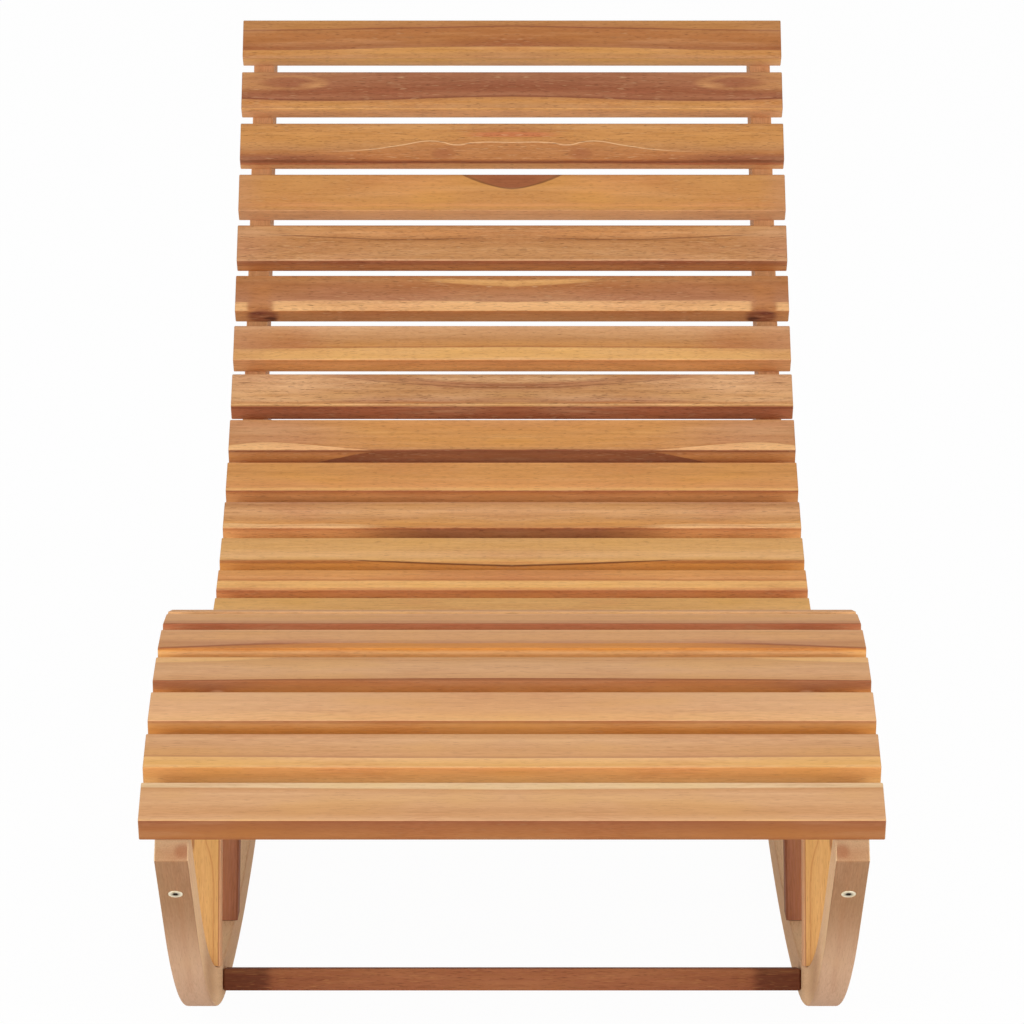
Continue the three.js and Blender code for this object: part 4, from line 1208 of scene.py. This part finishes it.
@dataclass
class Slats:
    """The thirty cross slats."""

    sizes: ChaiseSizes
    lines: Lines
    wood: Woodwork
    arris: float = 0.0013
    lower_arris: float = 0.0004
    end_arris: float = 0.0009
    corner_steps: int = 5
    end_steps: int = 4
    stations: int = 25
    tip_girth: float = 0.35
    under_share: float = 0.9

    def _section(self) -> tuple[np.ndarray, np.ndarray]:
        """Rounded section of a slat, from the rear arris over the top, front and underside.

        Each corner is a quarter circle of its arris radius. The girth grows with the distance
        walked: 0 to 1 over the top and the front edge, and back towards 0 below.

        Returns:
            Rows of across and height, and the girth of each.
        """
        width, thick = self.sizes.slat_width / 2, self.sizes.slat_thickness
        upper, lower = self.arris, self.lower_arris
        corners = [(upper, width - upper, -upper, 0), (upper, upper - width, -upper, 90),
                   (lower, lower - width, lower - thick, 180), (lower, width - lower, lower - thick, 270)]
        turn = np.linspace(0, 90, self.corner_steps + 1)
        section = np.concatenate([
            np.stack([y + r * np.cos(np.radians(start + turn)), z + r * np.sin(np.radians(start + turn))], axis=1)
            for r, y, z, start in corners
        ])
        full = 2 * width + thick
        top = (width - section[:, 0]) / full
        front = (2 * width - section[:, 1]) / full
        below = 1 - (section[:, 0] + width) / full * self.under_share
        corner = np.repeat(np.arange(len(corners)), len(turn))
        past_middle = np.tile(np.arange(len(turn)) >= len(turn) / 2, len(corners))
        in_front = (corner == 2) | ((corner == 1) & past_middle)
        girth = np.where(corner == 3, below, np.where(in_front, front, top))
        return section, np.clip(girth, 0.0, 1.0)

    def _form(self) -> tuple[np.ndarray, Faces, dict[str, np.ndarray]]:
        """Carries the section along a slat and closes its ends.

        Over the last stretch at each end the section shrinks towards its middle, along a quarter
        circle of the end's arris.

        Returns:
            Rows of along, across and height, the faces, and the attributes of the vertices.
        """
        section, girth = self._section()
        half, arris = self.sizes.slat_length / 2, self.end_arris
        turn = np.linspace(0, math.pi / 2, self.end_steps)
        inwards = arris * (1 - np.cos(turn))
        inset = arris * (1 - np.sin(turn))
        middle = np.linspace(arris - half, half - arris, self.stations)[1:-1]
        along = np.concatenate([inwards - half, middle, half - inwards[::-1]])
        shrink = np.concatenate([inset, np.zeros(len(middle)), inset[::-1]])
        centre = np.array([0.0, -self.sizes.slat_thickness / 2])
        away = section - centre
        scale = 1 - shrink[:, None, None] / np.abs(away).max(axis=0)
        rings, sides = len(along), len(section)
        lengthways = np.broadcast_to(along[:, None, None], (rings, sides, 1))
        board = np.concatenate([lengthways, centre + away[None] * scale], axis=2).reshape(-1, 3)
        board = np.concatenate([board, [[along[0], *centre], [along[-1], *centre]]])
        level = np.concatenate([np.tile(girth, rings), np.full(2, self.tip_girth)])
        end = np.concatenate([np.repeat(np.clip(shrink / arris, 0, 1), sides), np.ones(2)])
        return board, closed_tube_faces(rings, sides), {BOARD: board, GIRTH: level, END_GRAIN: end}

    def build(self) -> list[bpy.types.Object]:
        """Builds, places and dresses every slat."""
        form = self._form()
        return [self._slat(index, *form) for index in range(self.sizes.slat_count)]

    def _slat(self, index: int, board: np.ndarray, faces: Faces, attributes: dict[str, np.ndarray]) -> bpy.types.Object:
        """Lays the form of a slat in its place, turned by the slope there, and dresses it.

        Args:
            index: the slat's number from the foot end, counted from 0.
            board: rows of along, across and height.
            faces: the form's faces.
            attributes: the attributes of its vertices.

        Returns:
            The slat.
        """
        y, z, slope = self.lines.slat_place(index)
        along, across, height = board.T
        points = np.stack([
            along,
            y + across * math.cos(slope) - height * math.sin(slope),
            z + across * math.sin(slope) + height * math.cos(slope),
        ], axis=1)
        name = f"slat_{index + 1:02d}"
        piece = make_object(f"{name}_board", points, faces, attributes)
        face_outwards(piece)
        figure = FIGURES_FROM_HEAD[self.sizes.slat_count - 1 - index]
        piece.data.materials.append(self.wood.slat(index + 1, figure))
        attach(piece, "root")
        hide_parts(name)
        return piece


@dataclass
class SideFrames:
    """The two side frames: rails and runners, with eased arrises and the holes that fittings enter.

    A face counts as facing a direction where the cosine between them passes the facing share, and
    as looking up where its normal's height passes the upward share. The searches are the stretches
    in which the cuts are looked for: along the seat line at the nose, along the runner from its
    end, and along the rail as a share of its length.
    """

    sizes: ChaiseSizes
    lines: Lines
    wood: Woodwork
    arris: float = 0.0018
    arris_segments: int = 3
    rail_steps: int = 230
    rail_end_inset: float = 0.0006
    runner_steps: int = 260
    runner_lift: float = 0.00015
    round_steps: int = 6
    nut_hole_radius: float = 0.0053
    bolt_hole_radius: float = 0.0064
    bolt_hole_depth: float = 0.0030
    hole_sides: int = 48
    hole_margin: float = 0.007
    facing_share: float = 0.9
    upward_share: float = 0.3
    unmeasured: float = 1e-9
    nose_search: tuple[float, float, int] = (-0.02, 0.2, 2000)
    rear_search: tuple[float, float, int] = (-0.25, 0.02, 1200)
    joint_search: tuple[float, float, int] = (0.7, 0.95, 1500)

    def build(self) -> list[bpy.types.Object]:
        """Builds the rails and runners of both sides."""
        rail = self.wood.board(BoardFinish("rail_wood", Tone.SAND, Tone.CINNAMON, Tone.PEACH, streaks=0.4, seed=5.0))
        # The runner's far stretch and its side and upper faces get lighter tones: painted light where the seat leaves
        # them in shade.
        runner = self.wood.board(BoardFinish(
            "runner_wood", Tone.DUN, Tone.CINNAMON, Tone.OAT, far=Tone.OAT, run=(0.07, 0.24), painted_light_side=Tone.IVORY,
            nose=Tone.IVORY, streaks=0.18, veins=0.1, fibres=0.15, blush=0.2, pores=0.2, seed=9.0,
            figures=(Mark(0.315, 0.2578, 0.075, 0.005, Tone.FAWN, 0.7, 0.7),),
            nose_figures=(
                Streak(-1, 0.016, Tone.FAWN, 0.95, 0.008, wobble=0.004),
                Mark(0.2656, 0.009, 0.006, 0.006, Tone.RUSSET, 0.5, 0.5),
            ),
        ))
        pieces = []
        for label, side in (("right", 1.0), ("left", -1.0)):
            pieces.append(self._dress(self._rail(label, side), f"rail_{label}", rail, "rail_wood"))
            pieces.append(self._dress(self._runner(label, side), f"runner_{label}", runner, "runner_wood"))
        return pieces

    @staticmethod
    def _dress(piece: bpy.types.Object, node: str, material: bpy.types.Material, slot: str) -> bpy.types.Object:
        """Gives a piece its finish and its body, and hides the imported node that it stands for."""
        piece.data.materials.clear()
        piece.data.materials.append(material)
        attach(piece, "root")
        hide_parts(node)
        return piece

    @staticmethod
    def _plank(name: str, lower: np.ndarray, upper: np.ndarray, runs: tuple[np.ndarray, np.ndarray],
               inner: float, outer: float) -> bpy.types.Object:
        """Makes a plank from two lines in the side view.

        Each station has four corners: lower and upper line at the inner and the outer face.

        Args:
            name: the piece's name.
            lower: rows of y and z along the lower line.
            upper: as many rows along the upper line.
            runs: distances along the board of the lower and of the upper rows.
            inner: x of the inner face.
            outer: x of the outer face.

        Returns:
            The plank, with its four long arrises and its ends weighted for easing.
        """
        count = len(lower)
        corners = [(outer, lower, runs[0], 0.0), (inner, lower, runs[0], 0.0),
                   (inner, upper, runs[1], 1.0), (outer, upper, runs[1], 1.0)]
        points = np.stack([np.column_stack([np.full(count, x), line]) for x, line, _, _ in corners], axis=1)
        height = np.linalg.norm(upper - lower, axis=1)
        board = np.stack([np.column_stack([run, np.full(count, abs(x)), height * share])
                          for x, _, run, share in corners], axis=1)
        faces = tube_faces(count, 4)
        faces += [(3, 2, 1, 0), tuple(4 * (count - 1) + corner for corner in range(4))]
        piece = make_object(name, points.reshape(-1, 3), faces, {BOARD: board.reshape(-1, 3)})
        face_outwards(piece)
        mesh = piece.data
        ends = np.empty(len(mesh.edges) * 2, dtype=int)
        mesh.edges.foreach_get("vertices", ends)
        low, high = np.sort(ends.reshape(-1, 2), axis=1).T
        arrises = (high - low == 4) | (high < 4) | (low >= 4 * (count - 1))
        weight = mesh.attributes.new("bevel_weight_edge", "FLOAT", "EDGE")
        weight.data.foreach_set("value", arrises.astype(np.float32))
        return piece

    def _bore(self, piece: bpy.types.Object, line: SidePath, start: Vector, direction: Vector, radius: float,
              depth: float) -> None:
        """Opens a round blind hole in the face of a plank that a fitting enters.

        The face's quads round the hole are taken out, the space between their outline and a circle
        is filled again, and the circle's wall runs on inwards to a closed bottom.

        Args:
            piece: the plank.
            line: the line in the side view that the plank follows.
            start: the middle of the hole at the surface.
            direction: the direction in which the hole runs.
            radius: the hole's radius.
            depth: the hole's depth.
        """
        run, _ = line.nearest(np.array([[start.y, start.z]]))
        slope = float(line.at(run)[2][0])
        along = Vector((0.0, math.cos(slope), math.sin(slope)))
        form = bmesh.new()
        form.from_mesh(piece.data)
        taken = [face for face in form.faces if face.normal.dot(direction) < -self.facing_share
                 and abs((face.calc_center_median() - start).dot(along)) < radius + self.hole_margin]
        level = sum((face.calc_center_median() - start).dot(direction) for face in taken) / len(taken)
        bmesh.ops.delete(form, geom=taken, context="FACES")
        outline = [edge for edge in form.edges if edge.is_boundary]
        turn = Vector((0, 0, 1)).rotation_difference(direction).to_matrix().to_4x4()
        place = Matrix.Translation(start + direction * level) @ turn
        ring = bmesh.ops.create_circle(form, cap_ends=False, radius=radius, segments=self.hole_sides,
                                       matrix=place)["verts"]
        circle = list(dict.fromkeys(edge for vert in ring for edge in vert.link_edges))
        bmesh.ops.triangle_fill(form, use_beauty=True, edges=outline + circle, normal=-direction)
        wall = bmesh.ops.extrude_edge_only(form, edges=circle)["geom"]
        bottom = [item for item in wall if isinstance(item, bmesh.types.BMVert)]
        bmesh.ops.translate(form, vec=direction * depth, verts=bottom)
        rim = [item for item in wall if isinstance(item, bmesh.types.BMEdge) and item.is_boundary]
        bmesh.ops.edgeloop_fill(form, edges=rim)
        for edge in circle:
            edge.smooth = False
        bmesh.ops.recalc_face_normals(form, faces=form.faces)
        form.to_mesh(piece.data)
        form.free()
        self._measure(piece, line)

    def _measure(self, piece: bpy.types.Object, line: SidePath) -> None:
        """Gives new vertices of a plank their place in the board, from the line that it follows."""
        mesh = piece.data
        layer = mesh.attributes[BOARD].data
        board, points = np.empty(len(mesh.vertices) * 3), np.empty(len(mesh.vertices) * 3)
        layer.foreach_get("vector", board)
        mesh.vertices.foreach_get("co", points)
        board, points = board.reshape(-1, 3), points.reshape(-1, 3)
        new = np.abs(board).max(axis=1) < self.unmeasured
        run, height = line.nearest(points[new, 1:])
        board[new] = np.column_stack([run, np.abs(points[new, 0]), height])
        layer.foreach_set("vector", board.ravel())

    def _ease(self, piece: bpy.types.Object) -> bpy.types.Object:
        """Rounds the weighted arrises of a plank."""
        bevel = piece.modifiers.new("eased arrises", "BEVEL")
        bevel.width = self.arris
        bevel.segments = self.arris_segments
        bevel.limit_method = "WEIGHT"
        bevel.harden_normals = True
        return settle(piece)

    def _mark_faces(self, piece: bpy.types.Object, facing: np.ndarray) -> None:
        """Marks the faces of a plank that look sideways or up, which get a lighter tone as painted light, and those
        that look along a direction.
        """
        mesh = piece.data
        normals = np.empty(len(mesh.polygons) * 3)
        mesh.polygons.foreach_get("normal", normals)
        normals = normals.reshape(-1, 3)
        sideways = (np.abs(normals[:, 0]) > self.facing_share) | (normals[:, 2] > self.upward_share)
        for label, marked in ((PAINTED_LIGHT_SIDES, sideways), (END_GRAIN, normals @ facing > self.facing_share)):
            layer = mesh.attributes.new(label, "FLOAT", "FACE")
            layer.data.foreach_set("value", marked.astype(np.float32))

    def _nose_cut(self, above: float) -> float:
        """Distance along the seat line at which a line above it meets the runner's upper face."""
        samples = np.linspace(*self.nose_search)
        points = self.lines.seat.beside(samples, above)
        y, z, slope = (float(part[0]) for part in self.lines.runner.at(np.array([0.0])))
        height = (points[:, 1] - z) * math.cos(slope) - (points[:, 0] - y) * math.sin(slope)
        return float(np.interp(self.sizes.runner_depth + self.sizes.joint_gap, height, samples))

    def _rail(self, label: str, side: float) -> bpy.types.Object:
        """Makes a rail between the nose of the runner and its rounded head end."""
        sizes, seat = self.sizes, self.lines.seat
        top, bottom, r = -sizes.rail_drop - sizes.joint_gap, -sizes.rail_underside, sizes.rail_end_round
        near_end = sizes.rail_length - r - self.rail_end_inset
        turn = np.linspace(0, math.pi / 2, self.round_steps + 1)[1:]
        rounded = near_end + r * np.sin(turn)
        run_low, run_up = (
            np.concatenate([np.linspace(self._nose_cut(edge), near_end, self.rail_steps), rounded])
            for edge in (bottom, top)
        )
        level = np.concatenate([np.full(self.rail_steps, bottom), bottom + r - r * np.cos(turn)])
        inner = side * (sizes.outer_face - sizes.rail_thickness)
        piece = self._plank(f"rail_{label}_board", seat.beside(run_low, level), seat.beside(run_up, top),
                            (run_low, run_up), inner, side * sizes.outer_face)
        for name in (f"front_nut_{label}", f"rear_nut_{label}"):
            low, high = (Vector(corner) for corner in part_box(name))
            middle = (low + high) / 2
            deep = max(abs(low.x), abs(high.x)) - abs(inner)
            self._bore(piece, seat, Vector((inner, middle.y, middle.z)), Vector((side, 0, 0)),
                       self.nut_hole_radius, deep + sizes.joint_gap)
        return self._ease(piece)

    def _rear_cut(self, above: float) -> float:
        """Distance along the runner at which a line above it meets the rail's underside."""
        sizes, runner = self.sizes, self.lines.runner
        before, after, count = self.rear_search
        samples = np.linspace(runner.length + before, runner.length + after, count)
        points = runner.beside(samples, above)
        under = self.lines.seat.beside(np.linspace(*self.joint_search) * sizes.rail_length,
                                       -sizes.rail_underside - sizes.joint_gap)
        away = points[:, None, :] - under[None]
        nearest = np.argmin((away ** 2).sum(axis=2), axis=1)
        step = np.gradient(under, axis=0)[nearest]
        gap = away[np.arange(len(points)), nearest]
        height = gap[:, 1] * step[:, 0] - gap[:, 0] * step[:, 1]
        return float(samples[np.argmax(height > 0)])

    def _runner(self, label: str, side: float) -> bpy.types.Object:
        """Makes a runner from its square nose to the cut under the rail."""
        sizes, line = self.sizes, self.lines.runner
        run_low = np.linspace(0.0, self._rear_cut(self.runner_lift), self.runner_steps)
        run_up = np.linspace(0.0, self._rear_cut(sizes.runner_depth), self.runner_steps)
        inner = side * (sizes.outer_face - sizes.runner_thickness)
        piece = self._plank(f"runner_{label}_board", line.beside(run_low, self.runner_lift),
                            line.beside(run_up, sizes.runner_depth), (run_low, run_up), inner, side * sizes.outer_face)
        for place in ("front", "rear"):
            for kind in ("bolt", "crossbar_bolt"):
                head, direction, _ = self.lines.bolt(f"{place}_{kind}_{label}")
                self._bore(piece, line, head, direction, self.bolt_hole_radius, self.bolt_hole_depth)
        self._ease(piece)
        slope = float(line.at(np.array([0.0]))[2][0])
        self._mark_faces(piece, np.array([0.0, -math.cos(slope), -math.sin(slope)]))
        return piece


@dataclass
class KeptWood:
    """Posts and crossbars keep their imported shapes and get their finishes."""

    sizes: ChaiseSizes
    wood: Woodwork

    def build(self) -> list[bpy.types.Object]:
        """Dresses the posts and the crossbars."""
        # The front post's lighter inner side is painted light, and the straight dark line at its inner arris is painted
        # shade.
        front = BoardFinish(
            "front_post_wood", Tone.GOLD, Tone.COPPER, Tone.APRICOT, painted_light_side=Tone.PEACH, inner=0.2592, streaks=0.2,
            veins=0.15, pitch=0.014, fibres=0.25, seed=2.0, figures=(
                # painted shade: a dark line along the inner arris
                vein(0.2594, Tone.RUSSET, 0.0010, 0.7, wobble=0.0),
                vein(((-0.06, 0.2640), (-0.022, 0.2640), (-0.005, 0.2646), (0.010, 0.2678), (0.022, 0.2712),
                      (0.035, 0.2735)), Tone.COPPER, 0.0012, 0.6, wobble=0.002),
                Mark(0.022, 0.2822, 0.010, 0.0012, Tone.CHESTNUT, 0.7, 0.5),
            ),
        )
        middle = BoardFinish("middle_post_wood", Tone.MOCHA, Tone.UMBER, Tone.COPPER, streaks=0.6, veins=0.3,
                             pitch=0.006, seed=4.0)
        rear = BoardFinish("rear_post_wood", Tone.TAN, Tone.CINNAMON, Tone.STRAW, pitch=0.007, seed=6.0)
        pieces = []
        for part, finish, lean in zip(("front", "middle", "rear"), (front, middle, rear), self.sizes.post_leans):
            material = self.wood.board(finish, math.radians(lean + 90))
            pieces += [self._dress(f"{part}_post_{label}", material) for label in ("right", "left")]
        # The crossbar is darker at its ends, beside the runners: their painted shadow.
        bar = BoardFinish("crossbar_wood", Tone.SIENNA, Tone.CHESTNUT, Tone.TAN, far=Tone.UMBER, run=(0.212, 0.224),
                          streaks=0.4, veins=0.6, pitch=0.006, pores=0.5, seed=8.0)
        for node, tilt in zip(("front_crossbar", "rear_crossbar"), self.sizes.crossbar_tilts):
            pieces.append(self._dress(node, self.wood.crossbar(bar, math.radians(tilt))))
        return pieces

    @staticmethod
    def _dress(node: str, material: bpy.types.Material) -> bpy.types.Object:
        """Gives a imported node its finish."""
        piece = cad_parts[node]
        piece.data.materials.clear()
        piece.data.materials.append(material)
        return piece


@dataclass
class Fittings:
    """Socket bolts made again with real sockets, and the barrel nuts kept.

    The head's round holds the inset and the depth of points on its rounded edge. The socket has a
    narrow rim, and its bottom is a shallow cone. The socket, and more lightly its rim, get painted shade.
    """

    sizes: ChaiseSizes
    lines: Lines
    groups: Groups
    head_radius: float = 0.0061
    head_depth: float = 0.0026
    head_round: tuple[tuple[float, float], ...] = ((0.0009, 0.0), (0.0003, 0.0001), (0.0, 0.0005))
    shank_radius: float = 0.003
    shank_chamfer: float = 0.0006
    socket_radius: float = 0.0023
    socket_depth: float = 0.0045
    socket_lead: float = 0.0008
    socket_rim: float = 0.0003
    cone_depth: float = 0.0004
    cone_share: float = 0.35
    rim_shade: float = 0.6
    sharp_angle: float = 35.0
    steps: int = 72

    def build(self) -> list[bpy.types.Object]:
        """Builds the bolts and dresses the nuts."""
        brass = MetalFinish("bolt_metal", base="F2E6CC", dull="DCC8A0", shades_socket=True).material(self.groups)
        zinc = MetalFinish("nut_metal", base="B5B2AA", dull="8C8880").material(self.groups)
        pieces = []
        for name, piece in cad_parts.items():
            if "_bolt_" in name:
                pieces.append(self._bolt(name, brass))
            elif "_nut_" in name:
                piece.data.materials.clear()
                piece.data.materials.append(zinc)
                pieces.append(piece)
        return pieces

    def _profile(self, length: float) -> np.ndarray:
        """Outline of a bolt from the bottom of its socket over the head to the end of its shank.

        Args:
            length: the bolt's length.

        Returns:
            Rows of radius, depth below the head's face, share of the hexagon and share of the
            painted shade in the socket.
        """
        socket, shank = self.socket_radius, self.shank_radius
        return np.array([
            (self.cone_share * socket, self.socket_depth + self.cone_depth, 0, 1),
            (socket, self.socket_depth, 1, 1),
            (socket, self.socket_lead, 1, 1),
            (socket, self.socket_rim, 1, 1),
            (socket + self.socket_rim, 0.0, 0.5, self.rim_shade),
            *((self.head_radius - inset, depth, 0, 0) for inset, depth in self.head_round),
            (self.head_radius, self.head_depth, 0, 0),
            (shank, self.head_depth, 0, 0),
            (shank, length - self.shank_chamfer, 0, 0),
            (shank - self.shank_chamfer, length, 0, 0),
        ])

    def _bolt(self, name: str, material: bpy.types.Material) -> bpy.types.Object:
        """Turns a bolt's profile about its axis; inside the socket the radius follows a hexagon.

        On a hexagon the radius is the flat's distance over the cosine of the angle from the
        middle of the flat. It is given here as a share of the radius at the corners.
        """
        head, direction, length = self.lines.bolt(name)
        angle = np.linspace(0, 2 * math.pi, self.steps, endpoint=False)
        hexagon = math.cos(math.pi / 6) / np.cos((angle % (math.pi / 3)) - math.pi / 6)
        radius, depth, share, shade = self._profile(length).T[:, :, None]
        radius = radius * (1 - share + share * hexagon[None])
        height = np.broadcast_to(depth, radius.shape)
        local = np.stack([radius * np.cos(angle), radius * np.sin(angle), height], axis=2).reshape(-1, 3)
        local = np.concatenate([local, [[0, 0, depth[0, 0]], [0, 0, length]]])
        turn = Vector((0, 0, 1)).rotation_difference(direction).to_matrix()
        points = local @ np.array(turn).T + np.array(head)
        # Share of painted shade in the socket, for each vertex.
        painted_shade = np.concatenate([np.repeat(shade, self.steps), [1.0, 0.0]])
        piece = make_object(f"{name}_turned", points, closed_tube_faces(len(depth), self.steps), {SOCKET_SHADE: painted_shade})
        face_outwards(piece)
        piece.data.set_sharp_from_angle(angle=math.radians(self.sharp_angle))
        piece.data.materials.append(material)
        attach(piece, "root")
        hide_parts(name)
        return piece


@dataclass(frozen=True)
class Lamp:
    """A square lamp: its place, the point that it looks at, its width and its power in watts."""

    name: str
    place: Place
    target: Place
    width: float
    power: float

    def hang(self) -> None:
        """Hangs the lamp in the room."""
        data = bpy.data.lights.new(self.name, "AREA")
        data.shape = "SQUARE"
        data.size = self.width
        data.energy = self.power
        lamp = bpy.data.objects.new(self.name, data)
        lamp.location = self.place
        lamp.rotation_euler = (Vector(self.target) - Vector(self.place)).to_track_quat("-Z", "Y").to_euler()
        bpy.context.scene.collection.objects.link(lamp)


@dataclass
class Studio:
    """Pale floor, soft light and the photograph's camera.

    The glow is the share of a plain white that the floor shows to the camera, over its lit paper.
    """

    focal_pixels: float = 5000.0
    frame_pixels: float = 1024.0
    pitch: float = 14.0
    eye_height: float = 1.557
    eye_distance: float = 4.7229
    sight: float = 200.0
    floor_half: float = 40.0
    floor_grey: float = 0.93
    floor_glow: float = 0.97
    room_light: float = 0.63

    def build(self) -> None:
        """Sets up the floor, the lamps, the world and the camera."""
        self._floor()
        lamps = [Lamp("key", (0.0, -2.6, 4.6), (0.0, 0.0, 0.3), 3.4, 36.0)]
        for label, side in (("right", 1.0), ("left", -1.0)):
            lamps.append(Lamp(f"fill_{label}", (side * 6.0, -7.5, 1.4), (0.0, 0.0, 0.4), 5.0, 290.0))
            lamps.append(Lamp(f"low_{label}", (side * 1.6, -2.4, 0.25), (0.0, 0.3, 0.6), 2.0, 14.5))
        for lamp in lamps:
            lamp.hang()
        self._world()
        self._camera()
        LOG.info("studio: floor, %d lamps and camera", len(lamps))

    @staticmethod
    def _seen(graph: Graph) -> Socket:
        """Gives 1 where a ray comes from the camera, from gloss or through glass."""
        path = graph.node("ShaderNodeLightPath")
        seen = graph.math("MAXIMUM", path.outputs["Is Camera Ray"], path.outputs["Is Glossy Ray"])
        return graph.math("MAXIMUM", seen, path.outputs["Is Transmission Ray"])

    def _floor(self) -> None:
        """Lays a pale floor that keeps the object's soft shadow."""
        half = self.floor_half
        corners = np.array([[-half, -half, 0], [half, -half, 0], [half, half, 0], [-half, half, 0]], dtype=float)
        floor = make_object("floor", corners, [(0, 1, 2, 3)], {})
        material = bpy.data.materials.new("floor_paper")
        material.use_nodes = True
        graph = Graph(material.node_tree)
        nodes = material.node_tree.nodes
        shader = nodes["Principled BSDF"]
        shader.inputs["Base Color"].default_value = (self.floor_grey, self.floor_grey, self.floor_grey, 1)
        shader.inputs["Roughness"].default_value = 0.9
        shader.inputs["Specular IOR Level"].default_value = 0.0
        glow = graph.node("ShaderNodeEmission")
        glow.inputs["Strength"].default_value = 1.0
        blend = graph.node("ShaderNodeMixShader")
        graph.feed(blend.inputs[0], graph.math("MULTIPLY", self._seen(graph), self.floor_glow))
        graph.feed(blend.inputs[1], shader.outputs[0])
        graph.feed(blend.inputs[2], glow.outputs[0])
        graph.feed(nodes["Material Output"].inputs["Surface"], blend.outputs[0])
        floor.data.materials.append(material)

    def _world(self) -> None:
        """Lights the room evenly and shows white to the camera."""
        world = bpy.data.worlds.new("room")
        world.use_nodes = True
        bpy.context.scene.world = world
        graph = Graph(world.node_tree)
        background = world.node_tree.nodes["Background"]
        strength = graph.math("MULTIPLY_ADD", self._seen(graph), 1 - self.room_light, self.room_light)
        graph.feed(background.inputs["Strength"], strength)
        background.inputs["Color"].default_value = (1, 1, 1, 1)

    def _camera(self) -> None:
        """Places the camera that the photograph was fitted with."""
        data = bpy.data.cameras.new("camera")
        data.sensor_width = 36.0
        data.lens = self.focal_pixels / self.frame_pixels * data.sensor_width
        data.clip_end = self.sight
        camera = bpy.data.objects.new("camera", data)
        camera.location = (0.0, -self.eye_distance, self.eye_height)
        camera.rotation_euler = (math.radians(90 - self.pitch), 0.0, 0.0)
        bpy.context.scene.collection.objects.link(camera)
        bpy.context.scene.camera = camera


def main() -> None:
    """Builds the sub-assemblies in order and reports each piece."""
    logging.basicConfig(level=logging.INFO, format="%(name)s: %(message)s")
    sizes = ChaiseSizes()
    lines = Lines(sizes)
    groups = Groups()
    wood = Woodwork(groups)
    Studio().build()
    for part in (Slats(sizes, lines, wood), SideFrames(sizes, lines, wood), KeptWood(sizes, wood),
                 Fittings(sizes, lines, groups)):
        for piece in part.build():
            LOG.info("%s: %s, %d faces", type(part).__name__, piece.name, len(piece.data.polygons))
    view = bpy.context.scene.view_settings
    view.view_transform = "Standard"


if __name__ == "__main__":
    main()
